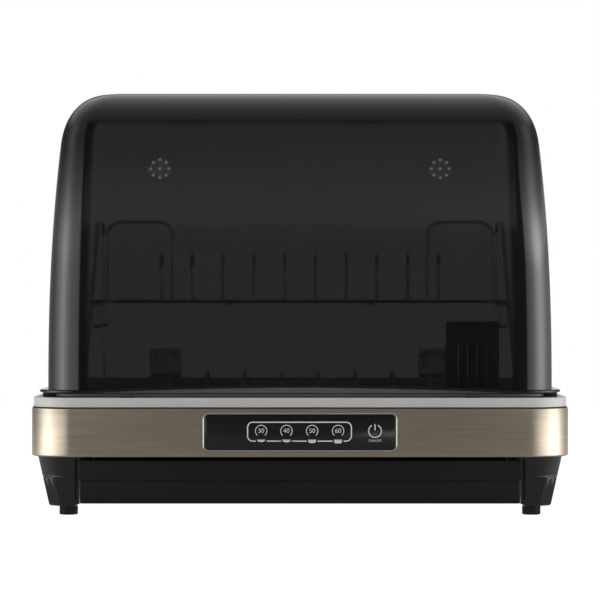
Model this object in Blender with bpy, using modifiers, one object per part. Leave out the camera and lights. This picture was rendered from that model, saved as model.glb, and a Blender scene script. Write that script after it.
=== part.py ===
# Electric dish dryer: tinted dome lid over wire racks, on a steel-banded base with legs and a drip tray.
# Metres, +Z up, front towards -Y. The origin is on the table under the middle of the body.

import math

import bmesh
import bpy
from mathutils import Vector

MM = 0.001

# Clearances and cutters
SEAT = 0.3 * MM  # left between two pieces that touch
CUT_OVERRUN = 2 * MM  # how far a cutter runs past what it cuts
MERGE_DISTANCE = 0.01 * MM  # points closer than this are one
SLOPE_PROBE = 1 * MM  # step up the wall that its slope is read over

# How finely round things are divided
CORNER_STEPS = 5
SMALL_CORNER_STEPS = 3
PIN_BEND_STEPS = 2
ARC_STEPS = 4
ROUND_SIDES = 16
SMALL_SIDES = 12
TINY_SIDES = 8
VENT_SIDES = 6
FOOT_SIDES = 12

# Steel band round the body, curled in at its bottom edge
BAND_WIDTH = 530 * MM
BAND_DEPTH = 370 * MM
BAND_CORNER = 37 * MM
BAND_BOTTOM = 58.3 * MM
BAND_HEIGHT = 48.5 * MM
BAND_SHEET = 0.8 * MM
BAND_CURL = 5 * MM

# Black base housing inside the band
HOUSING_WALL = 2.4 * MM
HOUSING_FLOOR = 2.5 * MM
HOUSING_BELOW_BAND = 4 * MM  # top of its wall below the top of the band

# Legs, moulded with the housing
LEG_SIDE_INSET = 9 * MM  # outer side of a leg from the side of the band
LEG_FRONT_INSET = 13 * MM
LEG_WIDTH = 36 * MM
LEG_DEPTH = 53 * MM
LEG_CORNER = 28 * MM  # on the outer side, above the step
LEG_FACET = 12 * MM  # flat on the corner of the outer side, below the step
LEG_REAR_CORNER = 12 * MM
LEG_INNER_CORNER = 1.5 * MM
LEG_UPPER = 22.9 * MM  # from the housing floor down to the step in the leg
LEG_STEP = 1.6 * MM
LEG_CHAMFER = 1.6 * MM
LEG_SPLAY = 9 * MM  # how far the outer side comes in over the whole height
LEG_RAKE = 5 * MM  # how far the front and the back come in
RUBBER_FOOT_HEIGHT = 8.5 * MM
RUBBER_FOOT_RADIUS = 8.35 * MM
RUBBER_FOOT_LIP = 0.8 * MM
RUBBER_FOOT_SIDE_INSET = 27.7 * MM  # its middle from the outer side of the leg
RUBBER_FOOT_FRONT_INSET = 22 * MM
FOOT_RECESS_RADIUS = 3.4 * MM
FOOT_RECESS_DEPTH = 3 * MM

# Machine box under the floor, behind the drip tray
MACHINE_SIDE_INSET = 60 * MM  # from the side of the band
MACHINE_BACK_INSET = 5.6 * MM
MACHINE_DEPTH = 101.4 * MM
MACHINE_CORNER = 5 * MM
COVER_BOTTOM = 12 * MM
COVER_SHEET = 2.4 * MM

# White basin: rim, skirt, upstand and draining floor
RIM_INSET = 2 * MM
RIM_FACE = 9.2 * MM  # height of the upright face above the band
RIM_SLOPE_RUN = 5 * MM
RIM_SLOPE_RISE = 4 * MM
RIM_WALL = 2.4 * MM
UPSTAND_OFFSET = 20 * MM
UPSTAND_THICKNESS = 2.5 * MM
UPSTAND_HEIGHT = 5.3 * MM
BASIN_CORNER = 52 * MM  # of the outline that the upstand and the walls are drawn in from
BASIN_GAP = 5.7 * MM  # between its floor and the floor of the housing
BASIN_FILLET = 6 * MM
DRAIN_RADIUS = 11 * MM
SPOUT_WALL = 2 * MM
SPOUT_DROP = 4 * MM  # how far the spout reaches below the housing floor
SOCKET_HEIGHT = 6 * MM
SOCKET_WALL = 2.4 * MM

# Dome lid
FLANGE_OFFSET = 7.5 * MM
FLANGE_THICKNESS = 3 * MM
FLANGE_CORNER = 36 * MM
DOME_OFFSET = 15 * MM
DOME_CORNER = 34 * MM
DOME_WALL = 2.6 * MM
DOME_HEIGHT = 293.7 * MM  # from the top of the flange to the top of the dome
SIDE_LEAN = 20 * MM
SIDE_DROP = 54 * MM  # how far below the top the side starts to turn over
SIDE_TURN = 40 * MM
FRONT_LEAN = 6 * MM
FRONT_DROP = 36 * MM
FRONT_TURN = 42 * MM
LEAN_POWER = 2.3
TURN_POWER = 2.2
WALL_SHARES = (0.12, 0.3, 0.48, 0.65)  # heights of the rings up the wall
TURN_STEPS = 6
FRONT_STEPS = 8
ARCH_RISE = 5.2 * MM  # the flange lifts in front as a finger grip
ARCH_SIDE_INSET = 58 * MM  # end of the arch from the side of the band
ARCH_BLEND = 30 * MM
VENT_SIDE_INSET = 127.5 * MM
VENT_BELOW_TOP = 77 * MM
VENT_RADIUS = 10.7 * MM
VENT_FLANGE = 1.6 * MM
VENT_FLANGE_THICKNESS = 0.8 * MM
VENT_RING_RADIUS = 8.8 * MM
VENT_HOLE_RADIUS = 1.15 * MM
VENT_HOLES = 8

# Hinges at the back
HINGE_SIDE_INSET = 115 * MM
HINGE_AXIS_INSET = 4 * MM
HINGE_AXIS_RISE = 6 * MM
BARREL_RADIUS = 3.6 * MM
BARREL_LENGTH = 24 * MM
EAR_RADIUS = 3.1 * MM
EAR_THICKNESS = 3 * MM
EAR_SIDE_GAP = 0.4 * MM
BRACKET_HALF_WIDTH = 20 * MM
BRACKET_SHEET = 1.5 * MM
BRACKET_HEIGHT = 11 * MM
PIN_RADIUS = 1.6 * MM
PIN_HEAD_RADIUS = 2.5 * MM
PIN_HEAD_LENGTH = 1.2 * MM
HINGE_PLATE_SHEET = 2.2 * MM
HINGE_PLATE_HALF_WIDTH = 18 * MM
HINGE_PLATE_HEIGHT = 34 * MM
HINGE_WEB_HEIGHT = 3.6 * MM

# Dark pads in the front slope of the rim, under the flange
PAD_SIDE_INSET = 97 * MM
PAD_HALF_WIDTH = 6.8 * MM
PAD_LENGTH = 7.6 * MM
PAD_BASE_DEPTH = 3.1 * MM
PAD_STAND = 1.2 * MM

# Control panel in the front of the band
WINDOW_HALF_WIDTH = 94.6 * MM
WINDOW_BELOW_TOP = 5.8 * MM  # top of the window below the top of the band
WINDOW_CORNER = 6 * MM
WINDOW_RISE = 5.2 * MM  # bottom of the window above the bottom of the band
BEZEL_WIDTH = 1.2 * MM
BEZEL_LIP = 1 * MM
BEZEL_LIP_SHEET = 1.5 * MM
PANEL_SHEET = 2 * MM
PANEL_WALL = 1.6 * MM
PANEL_RECESS = 0.3 * MM
PANEL_DEPTH = 9 * MM
BOARD_SHEET = 1.6 * MM
DISPLAY_HALF_WIDTH = 50 * MM
DISPLAY_HEIGHT = 2.4 * MM
CHIP_SIZE = 12 * MM

# Drip tray and its rails
TRAY_REAR_GAP = 6 * MM  # to the machine box
TRAY_BOTTOM = 12.6 * MM
TRAY_RIM_GAP = 10.4 * MM  # below the housing floor
TRAY_WALL = 2.2 * MM
TRAY_CORNER = 9 * MM
TRAY_LIP = 2.6 * MM
TRAY_LIP_THICKNESS = 2.3 * MM
TRAY_FACE_INSET = 12.5 * MM  # front of the tray behind the front of the band
TRAY_FACE_SHEET = 4 * MM
TRAY_FACE_SIDE_GAP = 3 * MM  # to the legs
TRAY_FACE_DROP = 0.6 * MM  # below the bottom of the tray
TRAY_FACE_TOP_GAP = 4.7 * MM  # below the housing floor
TRAY_FACE_UPPER = 19.9 * MM  # height of its upper part
TRAY_FACE_SETBACK = 1.6 * MM
TRAY_FACE_BEVEL = 0.8 * MM
RAIL_SETBACK = 8.5 * MM  # front of a rail behind the front of the tray
RAIL_LEG_GAP = 1.5 * MM
RAIL_SHEET = 2 * MM
RAIL_LEDGE_THICKNESS = 2.3 * MM
RAIL_REACH = 2.1 * MM  # how far the ledge reaches under the lip

# Drain strainer and the seal round the spout
STRAINER_RIM = 3.2 * MM
STRAINER_RIM_THICKNESS = 1.6 * MM
STRAINER_CUP_DEPTH = 5 * MM
STRAINER_SHEET = 1.2 * MM
STRAINER_SLOT = 1.6 * MM
SEAL_WIDTH = 2.6 * MM
SEAL_THICKNESS = 4 * MM

# Wires
FRAME_WIRE = 2 * MM
THIN_WIRE = 1.5 * MM
WELD_OVERLAP = 0.5 * MM
WIRE_BEND = 12 * MM

# Side frames that carry the upper rack
SIDE_FRAME_INSET = 51 * MM  # from the side of the band
SIDE_FRONT_INSET = 37 * MM
SIDE_REAR_INSET = 80 * MM
SIDE_POST_HEIGHT = 52 * MM
SIDE_SLANT_RUN = 40 * MM
SIDE_SLANT_DROP = 39 * MM
SIDE_TOP_RUN = 73 * MM
SIDE_TOP_HEIGHT = 224 * MM
SIDE_BAR_HEIGHT = 136 * MM
SIDE_BEND = 14 * MM

# Lower rack
LOWER_SIDE_GAP = 11 * MM  # between the middles of its outer wire and of the side frame
LOWER_FRONT_GAP = 7 * MM
LOWER_BACK_INSET = 56 * MM
LOWER_BAYS = 6
LOWER_RISE = 12 * MM
LOWER_FOOT_INSET = 23 * MM
LOWER_PIN_PITCH = 37 * MM
LOWER_PINS = 8
LOWER_PIN_HEIGHT = 58 * MM
CROSS_WIRE_X = 74 * MM

# Upper rack
UPPER_SIDE_GAP = 13 * MM
UPPER_BACK_INSET = 65 * MM
UPPER_PITCH = 38 * MM
UPPER_BAYS = 4
UPPER_PIN_PITCH = 33 * MM
UPPER_PINS = 10
UPPER_PIN_HEIGHT = 50 * MM
UPPER_PIN_BAY = 2
GUARD_INSET = 2 * MM
GUARD_WIDTH = 67 * MM
GUARD_HEIGHT = 82 * MM
HOOK_WIRE = 1.8 * MM
HOOK_DROP = 27 * MM
HOOK_RETURN = 8.8 * MM
HOOK_BEND = 4.2 * MM
HOOK_REAR_INSET = 55 * MM  # middle of a pair of hooks from the rear post
HOOK_SPACING = 80 * MM

# Utensil basket
BASKET_LENGTH = 53 * MM
BASKET_WIDTH = 39.5 * MM
BASKET_BACK_GAP = 4.5 * MM  # in front of the upper rack
BASKET_HEIGHT = 105 * MM
BASKET_WALL = 1.8 * MM
BASKET_CORNER = 6 * MM
BASKET_SLOT = 3.4 * MM
BASKET_SLOT_PITCH = 9.5 * MM
BASKET_SLOT_FOOT = 14 * MM
BASKET_SLOT_HEIGHT = 70 * MM

# Hot air: blower, heater and duct in the machine box
BLOWER_SIDE_INSET = 57 * MM  # its axis from the side of the machine box
BLOWER_BACK_INSET = 53.4 * MM
BLOWER_RADIUS = 44 * MM
BLOWER_WALL = 1.6 * MM
BLOWER_MOUTH_WIDTH = 36 * MM
BLOWER_MOUTH_REACH = 48 * MM
BLOWER_MOUTH_INSET = 1.2 * MM  # its outer wall from the tangent of the case
INTAKE_RADIUS = 25 * MM
WHEEL_RADIUS = 36 * MM
WHEEL_SHEET = 1.6 * MM
WHEEL_RUN = 3.2 * MM  # gap under the wheel
WHEEL_TOP_RUN = 1.6 * MM  # gap over it
BLADES = 18
BLADE_DEPTH = 8 * MM
BLADE_SHEET = 1 * MM
BLADE_TURN = 35  # degrees
HUB_RADIUS = 6 * MM
HUB_SHORTER = 8 * MM  # than the wheel is high
SHAFT_RADIUS = 2 * MM
SHAFT_CLEARANCE = 0.3 * MM
MOTOR_RADIUS = 24 * MM
MOTOR_HEIGHT = 11 * MM
MOTOR_GAP = 3.4 * MM  # under the floor of the housing
MOTOR_BORE_DEPTH = 8 * MM
DUCT_WALL = 1.6 * MM
DUCT_HALF_WIDTH = 45 * MM
DUCT_CHAMBER_GAP = 3.7 * MM  # under the floor of the housing
RISER_DEPTH = 11.5 * MM
RISER_HEAD = 3 * MM  # over the mouth
MOUTH_HALF_WIDTH = 38 * MM
MOUTH_RISE = 10 * MM  # over the basin floor
MOUTH_HEIGHT = 20 * MM
HEATER_INSET = 10 * MM
HEATER_LENGTH = 26 * MM
HEATER_FINS = 9
HEATER_FIN_SHEET = 1 * MM
HEATER_BAR = 2.4 * MM
CUTOUT_RADIUS = 8 * MM
CUTOUT_HEIGHT = 6 * MM
GRILLE_SHEET = 2 * MM
GRILLE_HALF_WIDTH = 46 * MM
GRILLE_SLOTS = 13
GRILLE_SLOT = 3 * MM
GRILLE_SLOT_PITCH = 6 * MM
GRILLE_MARGIN = 3 * MM
COVER_SLOTS = 7
COVER_SLOT = 3 * MM
COVER_SLOT_PITCH = 7 * MM

# Power board and cord inlet in the machine box
BOARD_DUCT_GAP = 25 * MM  # from the duct, the side, the front and the back of the machine box
BOARD_SIDE_GAP = 15 * MM
BOARD_FRONT_GAP = 18 * MM
BOARD_BACK_GAP = 15.4 * MM
POST_HEIGHT = 6 * MM
POST_RADIUS = 3 * MM
POST_INSET = 8 * MM
TRANSFORMER_SIZE = (34 * MM, 28 * MM, 22 * MM)
CAPACITOR_RADIUS = 7 * MM
CAPACITOR_HEIGHT = 20 * MM
RELAY_SIZE = (20 * MM, 16 * MM, 15 * MM)
TRANSFORMER_SHARES = (0.3, 0.4)  # places along and across the board
RELAY_SHARES = (0.75, 0.35)
CAPACITOR_SHARES = (0.7, 0.8)
INLET_SIDE_INSET = 55 * MM
INLET_RISE = 21.3 * MM  # over the floor of the machine box
INLET_RADIUS = 6.6 * MM
INLET_BORE = 3.4 * MM
INLET_FLANGE = 2.4 * MM
INLET_FLANGE_THICKNESS = 2.2 * MM

# Ultraviolet lamp over the air grille
LAMP_RADIUS = 7.5 * MM
LAMP_HALF_LENGTH = 67.5 * MM
LAMP_CAP_LENGTH = 8 * MM
LAMP_CAP_RADIUS = 8 * MM
LAMP_RISE = 14.5 * MM  # over the mouth
LAMP_STANDOFF = 9 * MM
HOLDER_LENGTH = 11 * MM
HOLDER_HALF_HEIGHT = 9.5 * MM
HOLDER_BEVEL = 1.2 * MM

# Heights and edges that follow from the sizes above
HALF_WIDTH = BAND_WIDTH / 2
HALF_DEPTH = BAND_DEPTH / 2
BAND_TOP = BAND_BOTTOM + BAND_HEIGHT
CURL_HEIGHT = BAND_BOTTOM + BAND_CURL
HOUSING_OFFSET = BAND_SHEET + SEAT
HOUSING_BOTTOM = BAND_BOTTOM + HOUSING_OFFSET
HOUSING_FLOOR_TOP = HOUSING_BOTTOM + HOUSING_FLOOR
HOUSING_INNER = HOUSING_OFFSET + HOUSING_WALL
HOUSING_TOP = BAND_TOP - HOUSING_BELOW_BAND
LEG_OUTER = HALF_WIDTH - LEG_SIDE_INSET
LEG_INNER = LEG_OUTER - LEG_WIDTH
LEG_FRONT = HALF_DEPTH - LEG_FRONT_INSET
LEG_SHOULDER = HOUSING_BOTTOM - LEG_UPPER
LEG_BOTTOM = RUBBER_FOOT_HEIGHT + SEAT
RUBBER_FOOT_X = LEG_OUTER - RUBBER_FOOT_SIDE_INSET
RUBBER_FOOT_Y = LEG_FRONT - RUBBER_FOOT_FRONT_INSET
MACHINE_HALF_WIDTH = HALF_WIDTH - MACHINE_SIDE_INSET
MACHINE_REAR = HALF_DEPTH - MACHINE_BACK_INSET
MACHINE_FRONT = MACHINE_REAR - MACHINE_DEPTH
RIM_BREAK = BAND_TOP + RIM_FACE
RIM_TOP = RIM_BREAK + RIM_SLOPE_RISE
SLOPE_TOP_OFFSET = RIM_INSET + RIM_SLOPE_RUN
BASIN_FLOOR = HOUSING_FLOOR_TOP + BASIN_GAP + RIM_WALL
BASIN_INNER = UPSTAND_OFFSET + UPSTAND_THICKNESS
BASIN_BACK = HALF_DEPTH - BASIN_INNER
FLANGE_BOTTOM = RIM_TOP + SEAT
DOME_FOOT = FLANGE_BOTTOM + FLANGE_THICKNESS
ARCH_HALF_WIDTH = HALF_WIDTH - ARCH_SIDE_INSET
VENT_X = HALF_WIDTH - VENT_SIDE_INSET
PAD_X = HALF_WIDTH - PAD_SIDE_INSET
HINGE_X = HALF_WIDTH - HINGE_SIDE_INSET
HINGE_Y = HALF_DEPTH - HINGE_AXIS_INSET
HINGE_Z = RIM_TOP + HINGE_AXIS_RISE
COVER_TOP = COVER_BOTTOM + COVER_SHEET
MACHINE_FLOOR = COVER_TOP + SEAT
WINDOW_BOTTOM = BAND_BOTTOM + WINDOW_RISE
WINDOW_HEIGHT = BAND_HEIGHT - WINDOW_RISE - WINDOW_BELOW_TOP
WINDOW_CENTRE = WINDOW_BOTTOM + WINDOW_HEIGHT / 2
TRAY_HALF_WIDTH = LEG_INNER - RAIL_LEG_GAP - RAIL_SHEET - SEAT - TRAY_LIP
TRAY_REAR = MACHINE_FRONT - TRAY_REAR_GAP
TRAY_RIM = HOUSING_BOTTOM - TRAY_RIM_GAP
TRAY_FACE_FRONT = HALF_DEPTH - TRAY_FACE_INSET
TRAY_FACE_HALF_WIDTH = LEG_INNER - TRAY_FACE_SIDE_GAP
TRAY_FACE_BOTTOM = TRAY_BOTTOM - TRAY_FACE_DROP
TRAY_FACE_TOP = HOUSING_BOTTOM - TRAY_FACE_TOP_GAP
TRAY_FACE_STEP = TRAY_FACE_TOP - TRAY_FACE_UPPER
RAIL_FRONT = TRAY_FACE_FRONT - RAIL_SETBACK
SOCKET_BORE = FRAME_WIRE + SEAT
SIDE_FRAME_X = HALF_WIDTH - SIDE_FRAME_INSET
SIDE_FRONT_FOOT = HALF_DEPTH - SIDE_FRONT_INSET
SIDE_REAR_FOOT = HALF_DEPTH - SIDE_REAR_INSET
SIDE_TOP_Y = SIDE_REAR_FOOT - SIDE_TOP_RUN
SIDE_SLANT_Y = SIDE_TOP_Y - SIDE_SLANT_RUN
SIDE_SLANT_HEIGHT = SIDE_TOP_HEIGHT - SIDE_SLANT_DROP
BAR_HEIGHT = BASIN_FLOOR + SIDE_BAR_HEIGHT
LOWER_HEIGHT = BASIN_FLOOR + LOWER_RISE
LOWER_HALF_WIDTH = SIDE_FRAME_X - LOWER_SIDE_GAP
LOWER_FRONT = SIDE_FRONT_FOOT - LOWER_FRONT_GAP
LOWER_BACK = HALF_DEPTH - LOWER_BACK_INSET
LOWER_PITCH = (LOWER_FRONT + LOWER_BACK) / LOWER_BAYS
LOWER_FOOT_X = LOWER_HALF_WIDTH - LOWER_FOOT_INSET
UPPER_HEIGHT = BAR_HEIGHT + FRAME_WIRE + SEAT + HOOK_WIRE
UPPER_HALF_WIDTH = SIDE_FRAME_X - UPPER_SIDE_GAP
UPPER_BACK = HALF_DEPTH - UPPER_BACK_INSET
UPPER_FRONT = UPPER_PITCH * UPPER_BAYS - UPPER_BACK
GUARD_OUTER = UPPER_HALF_WIDTH - GUARD_INSET
GUARD_INNER = GUARD_OUTER - GUARD_WIDTH
HOOK_Y = SIDE_REAR_FOOT - HOOK_REAR_INSET
BASKET_OUTER = LOWER_HALF_WIDTH
BASKET_INNER = BASKET_OUTER - BASKET_LENGTH
BASKET_BACK = UPPER_FRONT + BASKET_BACK_GAP
BASKET_FRONT = BASKET_BACK + BASKET_WIDTH
MOUTH_BOTTOM = BASIN_FLOOR + MOUTH_RISE
MOUTH_TOP = MOUTH_BOTTOM + MOUTH_HEIGHT
RISER_TOP = MOUTH_TOP + RISER_HEAD
LAMP_HEIGHT = MOUTH_TOP + LAMP_RISE
BLOWER_X = MACHINE_HALF_WIDTH - BLOWER_SIDE_INSET
BLOWER_Y = MACHINE_REAR - BLOWER_BACK_INSET
BLOWER_TOP = HOUSING_BOTTOM - MOTOR_GAP - MOTOR_HEIGHT - SEAT
WHEEL_LOW = MACHINE_FLOOR + BLOWER_WALL + WHEEL_RUN
WHEEL_HIGH = BLOWER_TOP - BLOWER_WALL - WHEEL_TOP_RUN
HUB_LOW = WHEEL_LOW + HUB_SHORTER
CHAMBER_TOP = HOUSING_BOTTOM - DUCT_CHAMBER_GAP
DUCT_START = BLOWER_MOUTH_REACH - BLOWER_X + SEAT
DUCT_BACK = BLOWER_Y + BLOWER_RADIUS - BLOWER_MOUTH_INSET
DUCT_FRONT = DUCT_BACK - BLOWER_MOUTH_WIDTH
RISER_FRONT = HALF_DEPTH - UPSTAND_OFFSET + SEAT
RISER_BACK = RISER_FRONT + RISER_DEPTH
POWER_BOARD_X = (DUCT_HALF_WIDTH + BOARD_DUCT_GAP, MACHINE_HALF_WIDTH - BOARD_SIDE_GAP)
POWER_BOARD_Y = (MACHINE_FRONT + BOARD_FRONT_GAP, MACHINE_REAR - BOARD_BACK_GAP)
INLET_X = MACHINE_HALF_WIDTH - INLET_SIDE_INSET
INLET_HEIGHT = MACHINE_FLOOR + INLET_RISE


def make_collection(name):
    collection = bpy.data.collections.new(name)
    bpy.context.scene.collection.children.link(collection)
    return collection


def finish(name, colour, roughness, metallic=0.0, alpha=1.0):
    material = bpy.data.materials.new(name)
    material.use_nodes = True
    shader = material.node_tree.nodes["Principled BSDF"]
    shader.inputs["Base Color"].default_value = (*colour, 1.0)
    shader.inputs["Roughness"].default_value = roughness
    shader.inputs["Metallic"].default_value = metallic
    shader.inputs["Alpha"].default_value = alpha
    material.diffuse_color = (*colour, alpha)
    return material


for existing in list(bpy.data.objects):
    bpy.data.objects.remove(existing, do_unlink=True)
PARTS = make_collection("electric_dish_dryer")
CUTTERS = make_collection("cutters")
FINISHES = {
    "black_plastic": finish("black_plastic", (0.018, 0.018, 0.02), 0.45),
    "white_plastic": finish("white_plastic", (0.72, 0.72, 0.70), 0.4),
    "brushed_steel": finish("brushed_steel", (0.52, 0.47, 0.41), 0.32, 1.0),
    "bezel_steel": finish("bezel_steel", (0.66, 0.60, 0.52), 0.2, 1.0),
    "gloss_black": finish("gloss_black", (0.008, 0.008, 0.009), 0.08),
    "smoke": finish("smoke", (0.03, 0.03, 0.033), 0.05, 0.0, 0.55),
    "wire": finish("wire", (0.62, 0.62, 0.62), 0.2, 1.0),
    "rubber": finish("rubber", (0.02, 0.02, 0.02), 0.8),
    "grey_plastic": finish("grey_plastic", (0.3, 0.3, 0.31), 0.5),
    "zinc": finish("zinc", (0.55, 0.56, 0.57), 0.35, 1.0),
    "ceramic": finish("ceramic", (0.6, 0.57, 0.52), 0.6),
    "board": finish("board", (0.03, 0.16, 0.07), 0.5),
    "lamp": finish("lamp", (0.75, 0.78, 0.85), 0.1, 0.0, 0.6),
}


def place(name, mesh, smooth=True):
    """A new object in the parts collection from a bmesh."""
    data = bpy.data.meshes.new(name)
    mesh.to_mesh(data)
    mesh.free()
    if smooth:
        data.shade_smooth()
        data.set_sharp_from_angle(angle=math.radians(30))
    made = bpy.data.objects.new(name, data)
    PARTS.objects.link(made)
    return made


def paint(piece, finish_name):
    piece.data.materials.clear()
    piece.data.materials.append(FINISHES[finish_name])
    return piece


def ring(half_x, half_y, radius, height, front_steps=1, steps=CORNER_STEPS):
    """Points round a flat rounded rectangle, from its front right corner and ending along its front edge."""
    points = []
    for quarter, (right, back) in enumerate(((1, -1), (1, 1), (-1, 1), (-1, -1))):
        for step in range(steps + 1):
            angle = (quarter - 1 + step / steps) * math.pi / 2
            x = right * (half_x - radius) + radius * math.cos(angle)
            y = back * (half_y - radius) + radius * math.sin(angle)
            points.append(Vector((x, y, height)))
    start, end = points[-1], points[0]
    for step in range(1, front_steps):
        points.append(start.lerp(end, step / front_steps))
    return points


def band_ring(offset, height, corner=BAND_CORNER):
    """The outline of the band, drawn in by an offset."""
    return ring(HALF_WIDTH - offset, HALF_DEPTH - offset, corner - offset, height)


def moved(points, x, y):
    return [point + Vector((x, y, 0)) for point in points]


def upright(points, depth, height):
    """Flat points stood up in a plane that faces the front."""
    return [Vector((point.x, depth, height + point.y)) for point in points]


def loft(name, rings, closed=False):
    """Faces between rings of equal count, with both ends capped or the last ring joined to the first."""
    mesh = bmesh.new()
    rows = [[mesh.verts.new(point) for point in points] for points in rings]
    pairs = list(zip(rows, rows[1:]))
    if closed:
        pairs.append((rows[-1], rows[0]))
    else:
        mesh.faces.new(rows[0])
        mesh.faces.new(rows[-1])
    count = len(rows[0])
    for low, high in pairs:
        for i in range(count):
            j = (i + 1) % count
            mesh.faces.new((low[i], low[j], high[j], high[i]))
    bmesh.ops.recalc_face_normals(mesh, faces=mesh.faces)
    return place(name, mesh)


def box(name, low, high):
    mesh = bmesh.new()
    bmesh.ops.create_cube(mesh, size=1)
    low, high = Vector(low), Vector(high)
    bmesh.ops.scale(mesh, vec=high - low, verts=mesh.verts)
    bmesh.ops.translate(mesh, vec=(low + high) / 2, verts=mesh.verts)
    return place(name, mesh, smooth=False)


def rod(name, start, end, radius, sides=ROUND_SIDES):
    """A cylinder between two points."""
    start, end = Vector(start), Vector(end)
    mesh = bmesh.new()
    bmesh.ops.create_cone(
        mesh,
        cap_ends=True,
        segments=sides,
        radius1=radius,
        radius2=radius,
        depth=(end - start).length,
    )
    turn = (end - start).to_track_quat("Z", "Y")
    bmesh.ops.rotate(mesh, matrix=turn.to_matrix(), verts=mesh.verts)
    bmesh.ops.translate(mesh, vec=(start + end) / 2, verts=mesh.verts)
    return place(name, mesh)


def turned(name, profile, sides=ROUND_SIDES, closed=False):
    """A profile of (radius, height) points turned about Z."""
    mesh = bmesh.new()
    points = [mesh.verts.new((radius, 0, height)) for radius, height in profile]
    for a, b in zip(points, points[1:]):
        mesh.edges.new((a, b))
    if closed:
        mesh.edges.new((points[-1], points[0]))
    made = place(name, mesh, smooth=False)
    screw = made.modifiers.new("turn", "SCREW")
    screw.steps = sides
    screw.render_steps = sides
    screw.use_merge_vertices = True
    screw.merge_threshold = MERGE_DISTANCE
    return made


def prism(name, outline, start, end):
    """An outline of (y, z) points drawn out along X."""
    return loft(name, [[Vector((x, y, z)) for y, z in outline] for x in (start, end)])


def modify(piece, others, operation):
    for other in others:
        step = piece.modifiers.new(operation.lower(), "BOOLEAN")
        step.operation = operation
        step.solver = "EXACT"
        step.object = other
        PARTS.objects.unlink(other)
        CUTTERS.objects.link(other)
        other.hide_render = True
        other.display_type = "WIRE"


def cut(piece, *cutters):
    modify(piece, cutters, "DIFFERENCE")
    return piece


def join(piece, *others):
    modify(piece, others, "UNION")
    return piece


def bent(corners, radius, steps=SMALL_CORNER_STEPS):
    """A path through corners with each inner corner rounded off."""
    corners = [Vector(corner) for corner in corners]
    path = [corners[0]]
    for before, corner, after in zip(corners, corners[1:], corners[2:]):
        arrive, leave = (corner - before).normalized(), (after - corner).normalized()
        turn = arrive.angle(leave)
        reach = radius * math.tan(turn / 2)
        inward = (leave - arrive).normalized()
        middle = corner + inward * radius / math.cos(turn / 2)
        first, last = corner - arrive * reach - middle, corner + leave * reach - middle
        for step in range(steps + 1):
            path.append(middle + first.slerp(last, step / steps) * radius)
    path.append(corners[-1])
    return path


def wires(name, paths, radius, closed=False):
    """Round wires along several paths, as one mesh of separate rods."""
    curve = bpy.data.curves.new(name, "CURVE")
    curve.dimensions = "3D"
    curve.bevel_depth = radius
    curve.bevel_resolution = 1
    curve.use_fill_caps = True
    for path in paths:
        spline = curve.splines.new("POLY")
        spline.points.add(len(path) - 1)
        for point, place_at in zip(spline.points, path):
            point.co = (*place_at, 1)
        spline.use_cyclic_u = closed
    guide = bpy.data.objects.new(name + "_guide", curve)
    PARTS.objects.link(guide)
    graph = bpy.context.evaluated_depsgraph_get()
    data = bpy.data.meshes.new_from_object(guide.evaluated_get(graph))
    mesh = bmesh.new()
    mesh.from_mesh(data)
    bmesh.ops.remove_doubles(mesh, verts=mesh.verts, dist=MERGE_DISTANCE)
    bmesh.ops.recalc_face_normals(mesh, faces=mesh.faces)
    bpy.data.objects.remove(guide)
    bpy.data.meshes.remove(data)
    return place(name, mesh)


def weld(name, *sets):
    """Crossing wires made one solid."""
    first, others = sets[0], sets[1:]
    first.name = name
    join(first, *others)
    for step in first.modifiers:
        step.use_self = True
    return first


def steel_band():
    outer, inner = [(0, BAND_TOP)], [(BAND_SHEET, BAND_TOP)]
    for step in range(ARC_STEPS + 1):
        angle = step / ARC_STEPS * math.pi / 2
        for side, radius in ((outer, BAND_CURL), (inner, BAND_CURL - BAND_SHEET)):
            side.append(
                (BAND_CURL - radius * math.cos(angle), CURL_HEIGHT - radius * math.sin(angle))
            )
    stations = outer + inner[::-1]
    band = loft("steel_band", [band_ring(*station) for station in stations], closed=True)
    cut(band, window_cutter("band_window", HALF_DEPTH - BAND_SHEET))
    return paint(band, "brushed_steel")


def window_cutter(name, back):
    outline = ring(WINDOW_HALF_WIDTH, WINDOW_HEIGHT / 2, WINDOW_CORNER, 0, steps=SMALL_CORNER_STEPS)
    depths = (-HALF_DEPTH - CUT_OVERRUN, -back + CUT_OVERRUN)
    return loft(name, [upright(outline, depth, WINDOW_CENTRE) for depth in depths])


def leg_ring(sides, corner, height, faceted):
    """The outline of a leg, with a wide or faceted outer corner at the front and tight inner corners."""
    outer, front, rear = sides
    inner = [(LEG_INNER, front, LEG_INNER_CORNER), (LEG_INNER, rear, LEG_INNER_CORNER)]
    corners = [(outer, front, corner)] + inner + [(outer, rear, LEG_REAR_CORNER)]
    points = []
    for quarter, (x, y, radius) in enumerate(corners):
        turns = []
        for step in range(SMALL_CORNER_STEPS + 1):
            angle = (quarter + step / SMALL_CORNER_STEPS) * math.pi / 2
            turns.append(Vector((math.cos(angle), math.sin(angle), 0)))
        centre = Vector((x, y, height)) - (turns[0] + turns[-1]) * radius
        if faceted:
            turns = [turns[0].lerp(turns[-1], step / SMALL_CORNER_STEPS) for step in range(len(turns))]
        points.extend(centre + turn * radius for turn in turns)
    return points


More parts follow.
